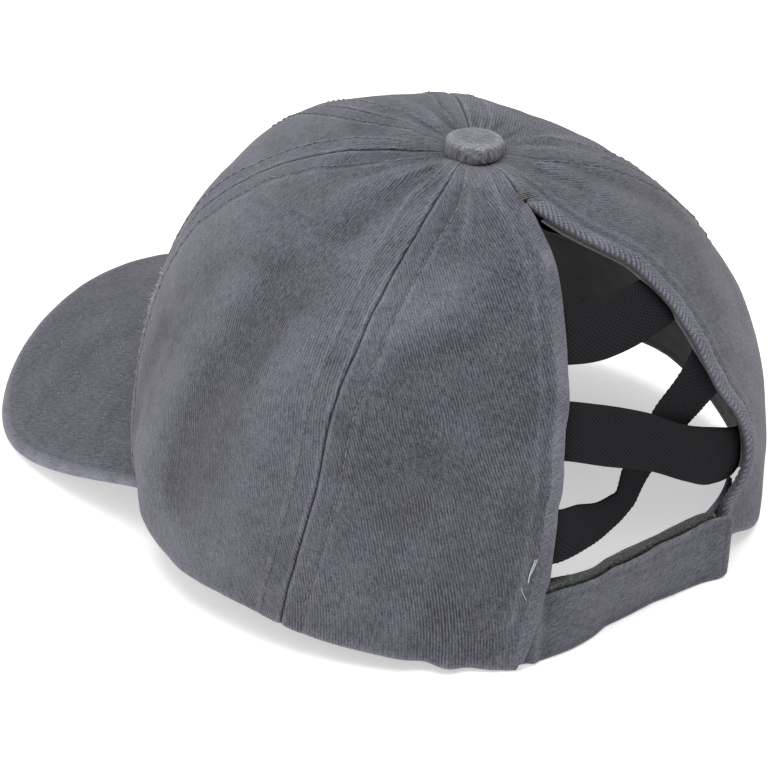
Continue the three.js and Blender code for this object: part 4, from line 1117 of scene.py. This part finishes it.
# The covering cloth is pulled down to the crown all the way round.
from_top = lobed - np.array([0, TOP_BACK, 0])
angle_there = np.degrees(np.arctan2(from_top[..., 0], -from_top[..., 1]))
below = skin(angle_there, share_near_top(np.hypot(from_top[..., 0], from_top[..., 1])), -0.1)[..., 2]
pulled = smooth(-level, -1.6, -0.4)
lobed[..., 2] += pulled * np.minimum(below - lobed[..., 2], 0)
faces = ring_faces(*lobed.shape[:2])[:, [0, 3, 2, 1]]
weave = np.stack([arc * np.cos(ring_turn), arc * np.sin(ring_turn)], -1) / MAP_UNIT
# Wear with painted light and shade: the dome's rim has rubbed pale, and raised dents and gathers are paler
# than their hollows.
wear_and_painted_light = 0.35 + 0.5 * hump(level, 3.1, 0.5) * (radius > 5)
wear_and_painted_light = wear_and_painted_light + 1.6 * dent + 1.2 * gathered * gather
# Painted shade under the button's rim.
painted_shade = 0.5 * smooth(level, 0.9, 0.1) + 0 * ring_turn
button = make_mesh("cloth_button", at_rest(lobed), faces, weave, [("wear_and_painted_light", wear_and_painted_light), ("painted_shade", painted_shade)])
button.data.materials.append(twill_cloth(
    "button_twill", grain=40, pitch=0.72, clear=0.4, contrast=1.7,
    dye=(0.07, 0.07, 0.085, 1), faded=(0.29, 0.29, 0.325, 1),
))
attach(button, "root")
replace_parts(button, "button")

# Sweatband
# A smooth dark satin strip sewn inside the rim, open at the back below the ponytail opening. It lies in
# small ripples because the cap has been washed.
SWEAT_END, SWEAT_HIGH = 138.0, 28.0  # degrees round from the front to each end, and its height
SWEAT_FOOT = 0.99  # share at its lower edge
SWEAT_BEHIND, SWEAT_THICK = 0.9, 1.0  # its gap behind the crown's cloth, and how thick it is
SWEAT_CREASES = 0.4  # how much of the crown's creases it follows
SWEAT_RADIUS = 90.0  # the rim's mean half axis
angle = np.linspace(-SWEAT_END, SWEAT_END, 460)[None]
share = np.linspace(1 - SWEAT_HIGH / GORE, SWEAT_FOOT, 34)[:, None]
far_up = (SWEAT_FOOT - share) * GORE
ripple = 0.3 * value_noise(angle * 1.5, far_up * 0.25, 4.2, 95)
ripple = ripple * smooth(far_up, 1, 9) * (1 - smooth(far_up, 22, 26.5))
ripple = ripple + 0.1 * value_noise(angle * 1.5, far_up, 3, 96)
stitched = 0.22 * hump(far_up, 24.6, 0.5) + 0.22 * hump(far_up, 2, 0.5)
top_roll = 0.25 * hump(far_up, 26.4, 0.7)
outer = skin(angle, share, -CLOTH - SWEAT_BEHIND, SWEAT_CREASES)
high = -CLOTH - SWEAT_BEHIND - SWEAT_THICK - ripple + stitched - top_roll
inner = skin(angle, share, high, SWEAT_CREASES)
length = np.radians(angle) * SWEAT_RADIUS
weave = np.stack([length + 0 * share, far_up + 0 * angle], -1) / MAP_UNIT
sweatband = sheet_piece("sweatband_strip", outer, inner, weave, inside=False)
satin_cloth, tree, shader = surface("sweatband_satin", 0.5, 0.05, 0.2)
place_mm = scaled(tree, mapped(tree, "weave"), MAP_UNIT)
rib = ribs(tree, place_mm, "Y", 0.62, 0.4)
fade = noise(tree, place_mm, 0.12, 4.0, 0.6)
tone = mixed(tree, fade, (0.012, 0.0125, 0.0125, 1), (0.036, 0.0375, 0.037, 1))
tone = mixed(tree, number(tree, "MULTIPLY", rib, 0.25), tone, (0.09, 0.09, 0.09, 1))
tree.links.new(tone, shader.inputs["Base Color"])
bumped(tree, shader, rib, 0.3, 0.0001)
sweatband.data.materials.append(satin_cloth)
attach(sweatband, "root")
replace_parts(sweatband, "sweatband")

# Closed back strap
# Two cloth straps close the rim behind the head. The left one laps over the right one, and between them
# lies the loop half of the fastening tape, whose fuzzy upper edge shows above the outer strap.
STRAP_BOW, STRAP_HIGH, STRAP_THICK, LOOP_THICK, LAYER = 8.6, 22.0, 1.6, 1.0, 0.4
STRAP_PLAN = [  # angle, how far it bows inside the rim, how far its upper edge leans out
    (140, 0, -0.1), (152, 0.02, -0.1), (156, 0.16, -0.1), (160, 0.32, 0.02), (165, 0.62, 0.2),
    (170, 0.94, 0.27), (180.5, 1, 0.26), (187, 0.78, 0.16), (192.4, 0.49, 0.05), (195, 0.27, 0),
    (197, 0.12, 0), (199, 0.1, 0), (212, 0.1, -0.12),
]
STRAP_START, STRAP_END = 146.5, 198.3  # the outer strap's ends, in degrees round from the front
DEGREE_LONG = 1.62  # millimetres of strap in one degree
STITCH_IN = 2.4  # from a strap's edge to the stitches round it
CORNER_SHARE = 0.999  # how much of a corner is cut away, just short of its full round


def strap_inset(angle):
    """How far inside the rim the outer strap's face lies. The loop tape and inner strap lie behind it."""
    inside = through([(a, b) for a, b, _ in STRAP_PLAN], angle)
    return CLOTH + LAYER + STRAP_BOW * inside - smooth(angle, 194, 200) * (CLOTH + LAYER)


def loop_inset(angle):
    return strap_inset(angle) + STRAP_THICK + LAYER


def inner_inset(angle):
    return np.maximum(loop_inset(angle) + LOOP_THICK + LAYER, CORNER_IN + CLOTH + 2 * LAYER)


def inset_point(angle, inset, level):
    """A point that far inside the rim, at a share of the strap's height."""
    lean = STRAP_BOW * through([(a, c) for a, _, c in STRAP_PLAN], angle) * level
    turn = np.radians(angle)
    out = unit(np.stack([np.sin(turn) / RIM_WIDTH, -np.cos(turn) / RIM_LENGTH, 0 * turn], -1))
    return rim_point(angle) + out * (lean - inset)[..., None]


trial = np.arange(STRAP_START, STRAP_END + 0.01, 0.5)
STRAP_BACK = inset_point(trial, strap_inset(trial), 0 * trial)[:, 1].max()


def corner_crop(along, radius):
    """How far a rounded corner cuts into a strap's edges, at a distance from its end."""
    return radius - np.sqrt(np.clip(radius**2 - np.maximum(radius - along, 0) ** 2, 0, None))


def strap_piece(
    name, start, stop, inset, thick, high, lift, tilt, corners, soft, seed, stitch_deep=0.0, fold_high=0.0
):
    """A strap that stands on the surface the cap rests on, and its outer face's points. Corners are the
    radii at its two ends, and soft is how high it puckers."""
    length = DEGREE_LONG * (stop - start)
    u = np.linspace(0, 1, 250)[None]
    u = u - 0.03 * np.sin(2 * np.pi * u)
    angle, along = start + (stop - start) * u, length * u
    v = np.linspace(1, 0, 44)[:, None]
    v = np.clip(v + 0.06 * np.sin(2 * np.pi * v), 0, 1)
    crop = CORNER_SHARE * np.maximum(corner_crop(along, corners[0]), corner_crop(length - along, corners[1]))
    level = crop / high + v * (1 - 2 * crop / high)
    wavy = 0.35 * value_noise(along, 0 * along, 7, seed) * smooth(v, 0.6, 1)
    from_edge = np.minimum(np.minimum(v, 1 - v) * high, np.minimum(along, length - along))
    rounding = rounded(from_edge / 0.8)
    puff = soft * value_noise(along, high * v, 5.5, seed + 1)
    puff = puff + 0.5 * soft * value_noise(along, high * v, 2.4, seed + 2)
    puff = puff + 0.95 * fold_high * hump(along, 8.6, 1.7)
    puff = puff - 0.35 * fold_high * hump(along, 12.4, 1.5)
    raised = puff - stitch_deep * hump(from_edge, STITCH_IN, 0.45)
    turned_in = 0.42 * thick * rounding
    out = inset_point(angle + 0 * v, inset(angle) + turned_in - raised * (1 - rounding), level)
    back = inset_point(angle + 0 * v, inset(angle) + thick - turned_in, level)
    for grid in (out, back):
        grid[..., 2] = (grid[..., 1] - STRAP_BACK) * math.tan(-PITCH) + lift - tilt * u + high * level + wavy
    # Wear with painted light and shade: puffed cloth is paler and its hollows darker, and the edges have worn
    # pale.
    wear_and_painted_light = np.clip(0.35 + 1.2 * raised, 0, 1) * 0.5 + 0.6 * hump(from_edge, 0, 0.9)
    # Painted shade along the stitch rows.
    painted_shade = 0.2 * hump(from_edge, STITCH_IN, 0.3)
    weave = np.stack([along + 0 * v, high * v + 0 * along], -1) / MAP_UNIT
    made = sheet_piece(name, out, back, weave, [("wear_and_painted_light", wear_and_painted_light), ("painted_shade", painted_shade)], inside=False)
    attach(made, "root")
    return made, out


strap_cloth = twill_cloth("strap_twill", grain=62, pitch=0.8, clear=0.45, contrast=1.1)
outer_strap, _ = strap_piece(
    "outer_strap", STRAP_START, STRAP_END, strap_inset, STRAP_THICK, STRAP_HIGH, lift=0, tilt=0,
    corners=(1.5, 2.6), soft=0.13, seed=101, stitch_deep=0.2, fold_high=1.0,
)
outer_strap.data.materials.append(strap_cloth)
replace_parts(outer_strap, "strap_outer")
inner_strap, _ = strap_piece(
    "inner_strap", 148, 211, inner_inset, STRAP_THICK, STRAP_HIGH - 0.6, lift=2.8, tilt=1.9,
    corners=(1.5, 1.5), soft=0.08, seed=105, stitch_deep=0.2,
)
inner_strap.data.materials.append(strap_cloth)
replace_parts(inner_strap, "strap_inner")
loop_tape, loop_face = strap_piece(
    "loop_tape_backing", 150, 196, loop_inset, LOOP_THICK, STRAP_HIGH - 1, lift=3.8, tilt=1.9,
    corners=(1.0, 1.0), soft=0.03, seed=109,
)
loop_cloth, tree, shader = surface("loop_pile", 0.95, 0.25)
place_mm = scaled(tree, mapped(tree, "weave"), MAP_UNIT)
fluff = noise(tree, place_mm, 1.3, 4.0, 0.75)
fluff_top = ranged(tree, fluff, 0.35, 0.7, 0.0, 1.0)
tone = mixed(tree, fluff_top, (0.03, 0.034, 0.03, 1), (0.26, 0.28, 0.25, 1))
tree.links.new(tone, shader.inputs["Base Color"])
bumped(tree, shader, fluff, 0.8, 0.0005)
loop_tape.data.materials.append(loop_cloth)
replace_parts(loop_tape, "loop_tape")

# The pile's own loops, thickest along the upper edge where the tape shows.
LOOPS, LOOP_ROWS = 1500, 16  # how many loops, and how many of the tape's rows of points they stand on
LOOP_RADIUS = 0.075
loop_draw = np.random.default_rng(17)
row = (loop_draw.uniform(0, 1, LOOPS) ** 2.2 * LOOP_ROWS).astype(int)
column = loop_draw.integers(3, loop_face.shape[1] - 4, LOOPS)
root = loop_face[row, column] + loop_draw.uniform(-0.2, 0.2, (LOOPS, 3))
out = unit(root * np.array([1, 1, 0]))
lean = unit(out + loop_draw.normal(0, 0.5, (LOOPS, 3)) + np.array([0, 0, 0.35]))
swing = unit(np.cross(lean, loop_draw.normal(0, 1, (LOOPS, 3))))
bow = np.linspace(-0.15 * np.pi, 1.15 * np.pi, 7)[None, :, None]
size = loop_draw.uniform(0.35, 0.75, (LOOPS, 1, 1))
loop_shape = 1.15 * np.sin(bow) * lean[:, None] + 0.6 * np.cos(bow) * swing[:, None]
loop_lines = root[:, None] + size * loop_shape
loop_ups = np.cross(lean, swing)[:, None] + 0 * loop_lines
pile = tubes("loop_pile_threads", loop_lines, loop_ups, LOOP_RADIUS, sides=4)
pile.data.materials.append(loop_cloth)
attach(pile, "root")

# Loose threads
# Ends of sewing thread left at the hem, a bar of close stitches that ends the slit, and short pale
# fibres where the left front seam has frayed in washing.
BAR_ROWS, BAR_APART = 4, 0.0042  # the bar tack's rows, and the share of the gore between them
FRAYS, FRAY_RADIUS = 80, 0.06
pale_thread, tree, shader = surface("pale_thread", 0.85, 0.2)
fade = noise(tree, mapped(tree, "weave"), 6.0, 2.0)
tone = mixed(tree, fade, (0.30, 0.31, 0.29, 1), (0.62, 0.63, 0.60, 1))
tree.links.new(tone, shader.inputs["Base Color"])


def thread(name, places, high, radius, material):
    """A loose thread that follows a few places on the crown at the given heights."""
    angle, share = np.array(places, float).T
    path, ups = skin(angle, share, np.array(high)), crown_normal(angle, share)
    rings = 28
    knots = np.linspace(0, len(path) - 1, rings)
    soft_path = np.stack([through(list(zip(range(len(path)), path[:, k])), knots) for k in range(3)], -1)
    to_end = np.minimum(np.arange(rings), np.arange(rings)[::-1])
    fine = radius * np.minimum(1, to_end / 2 + 0.4)
    made = tubes(name, soft_path[None], np.repeat(ups[:1], rings, 0)[None], fine[None])
    made.data.materials.append(material)
    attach(made, "root")


thread(
    "tack_thread_upper", [(150.9, 0.836), (150.5, 0.846), (150.0, 0.858), (149.7, 0.872), (149.8, 0.878)],
    [-0.3, 0.35, 0.4, 0.35, -0.2], 0.17, pale_thread,
)
thread(
    "tack_thread_fork", [(151.2, 0.838), (150.6, 0.85), (149.9, 0.866)], [0.1, 0.5, 0.2], 0.12, pale_thread
)
thread(
    "tack_thread_lower", [(148.4, 0.884), (148.8, 0.892), (149.5, 0.905)], [-0.2, 0.3, 0.25], 0.09,
    pale_thread,
)
bar = [(170.3, 0.1), (171.5, 0.1), (173.0, 0.101), (175.0, 0.102), (177.5, 0.103), (181.5, 0.105)]
for bar_row in range(BAR_ROWS):
    shift = BAR_APART * (bar_row - (BAR_ROWS - 1) / 2)
    places = [(angle, share + shift) for angle, share in bar]
    thread(f"bar_tack_{bar_row}", places, [0.1, 0.4, 0.5, 0.5, 0.4, 0.1], 0.2, thread_cloth)
thread(
    "slit_thread_end", [(171.2, 0.102), (169.4, 0.098), (168.6, 0.105), (167.9, 0.101)],
    [0.4, 0.8, 0.6, 0.9], 0.13, thread_cloth,
)

fray_draw = np.random.default_rng(23)
fray_share = np.clip(0.785 + fray_draw.normal(0, 0.035, FRAYS), 0.72, 0.95)
fray_angle = seam_front(fray_share) + fray_draw.normal(0, 0.8, FRAYS)
fray_root, fray_up = skin(fray_angle, fray_share, 0.1), crown_normal(fray_angle, fray_share)
away = unit(fray_up + fray_draw.normal(0, 0.9, (FRAYS, 3)))
curl = unit(np.cross(away, fray_draw.normal(0, 1, (FRAYS, 3))))
reach = fray_draw.uniform(0.4, 1.5, (FRAYS, 1, 1)) * np.linspace(0, 1, 6)[None, :, None]
fray_lines = fray_root[:, None] + reach * away[:, None] * 0.6 + 0.5 * reach**2 * curl[:, None]
fray_ups = fray_up[:, None] + 0 * fray_lines
frays = tubes("frayed_fibres", fray_lines, fray_ups, FRAY_RADIUS, sides=4)
frays.data.materials.append(pale_thread)
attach(frays, "root")

# Floor, light and camera
# A plain pale floor, one broad soft lamp overhead with a weaker one on the wearer's left, and the camera
# where the photographer stood: behind the wearer's left shoulder, a metre from the rim's centre.
FLOOR_HALF = 12.0
IMAGE = 768  # the picture's width and height, which the camera's shift is measured in
floor_mesh = bpy.data.meshes.new("floor")
floor_corners = [(FLOOR_HALF * x, FLOOR_HALF * y, 0) for x, y in ((-1, -1), (1, -1), (1, 1), (-1, 1))]
floor_mesh.from_pydata(floor_corners, [], [(0, 1, 2, 3)])
floor = bpy.data.objects.new("floor", floor_mesh)
bpy.context.scene.collection.objects.link(floor)
paper = bpy.data.materials.new("pale_paper")
paper.use_nodes = True
paper_shader = paper.node_tree.nodes["Principled BSDF"]
paper_shader.inputs["Base Color"].default_value = (0.86, 0.86, 0.86, 1)
paper_shader.inputs["Roughness"].default_value = 0.9
paper_shader.inputs["Emission Color"].default_value = (1, 1, 1, 1)
paper_shader.inputs["Emission Strength"].default_value = 0.5
floor.data.materials.append(paper)

world = bpy.data.worlds.new("studio")
bpy.context.scene.world = world
world.use_nodes = True
world.node_tree.nodes["Background"].inputs["Color"].default_value = (1, 1, 1, 1)
world.node_tree.nodes["Background"].inputs["Strength"].default_value = 0.45


def softbox(name, place, aim, size, watts):
    """A square soft lamp at a place, turned towards another."""
    lamp = bpy.data.lights.new(name, "AREA")
    lamp.energy, lamp.size = watts, size
    made = bpy.data.objects.new(name, lamp)
    made.location = place
    made.rotation_euler = (Vector(aim) - Vector(place)).to_track_quat("-Z", "Y").to_euler()
    bpy.context.scene.collection.objects.link(made)


softbox("lamp_overhead", (0.15, 0.25, 1.5), (0, 0, 0.05), 1.1, 23)
softbox("lamp_camera_left", (1.1, -0.15, 0.9), (0, 0, 0.06), 0.9, 2)

AZIMUTH, ELEVATION, ROLL = (math.radians(v) for v in (136.0872, 36.9653, 3.4922))
back = np.array([
    math.sin(AZIMUTH) * math.cos(ELEVATION), -math.cos(AZIMUTH) * math.cos(ELEVATION), math.sin(ELEVATION)
])
right0 = unit(np.cross(-back, [0, 0, 1]))
up0 = np.cross(right0, -back)
right = right0 * math.cos(ROLL) + up0 * math.sin(ROLL)
upward = -right0 * math.sin(ROLL) + up0 * math.cos(ROLL)
turned = np.array([at_rest(v) - at_rest(0 * v) for v in (right, upward, back)]) * 1000
camera = bpy.data.objects.new("camera", bpy.data.cameras.new("camera"))
bpy.context.scene.collection.objects.link(camera)
camera.matrix_world = Matrix.Translation(at_rest(back * 1000.0)) @ Matrix(turned.T.tolist()).to_4x4()
camera.data.sensor_width = 36
camera.data.lens = 163.63
camera.data.shift_x = -61.29 / IMAGE
camera.data.shift_y = 79.25 / IMAGE
camera.data.clip_end = 20
bpy.context.scene.camera = camera
bpy.context.scene.view_settings.view_transform = "Standard"
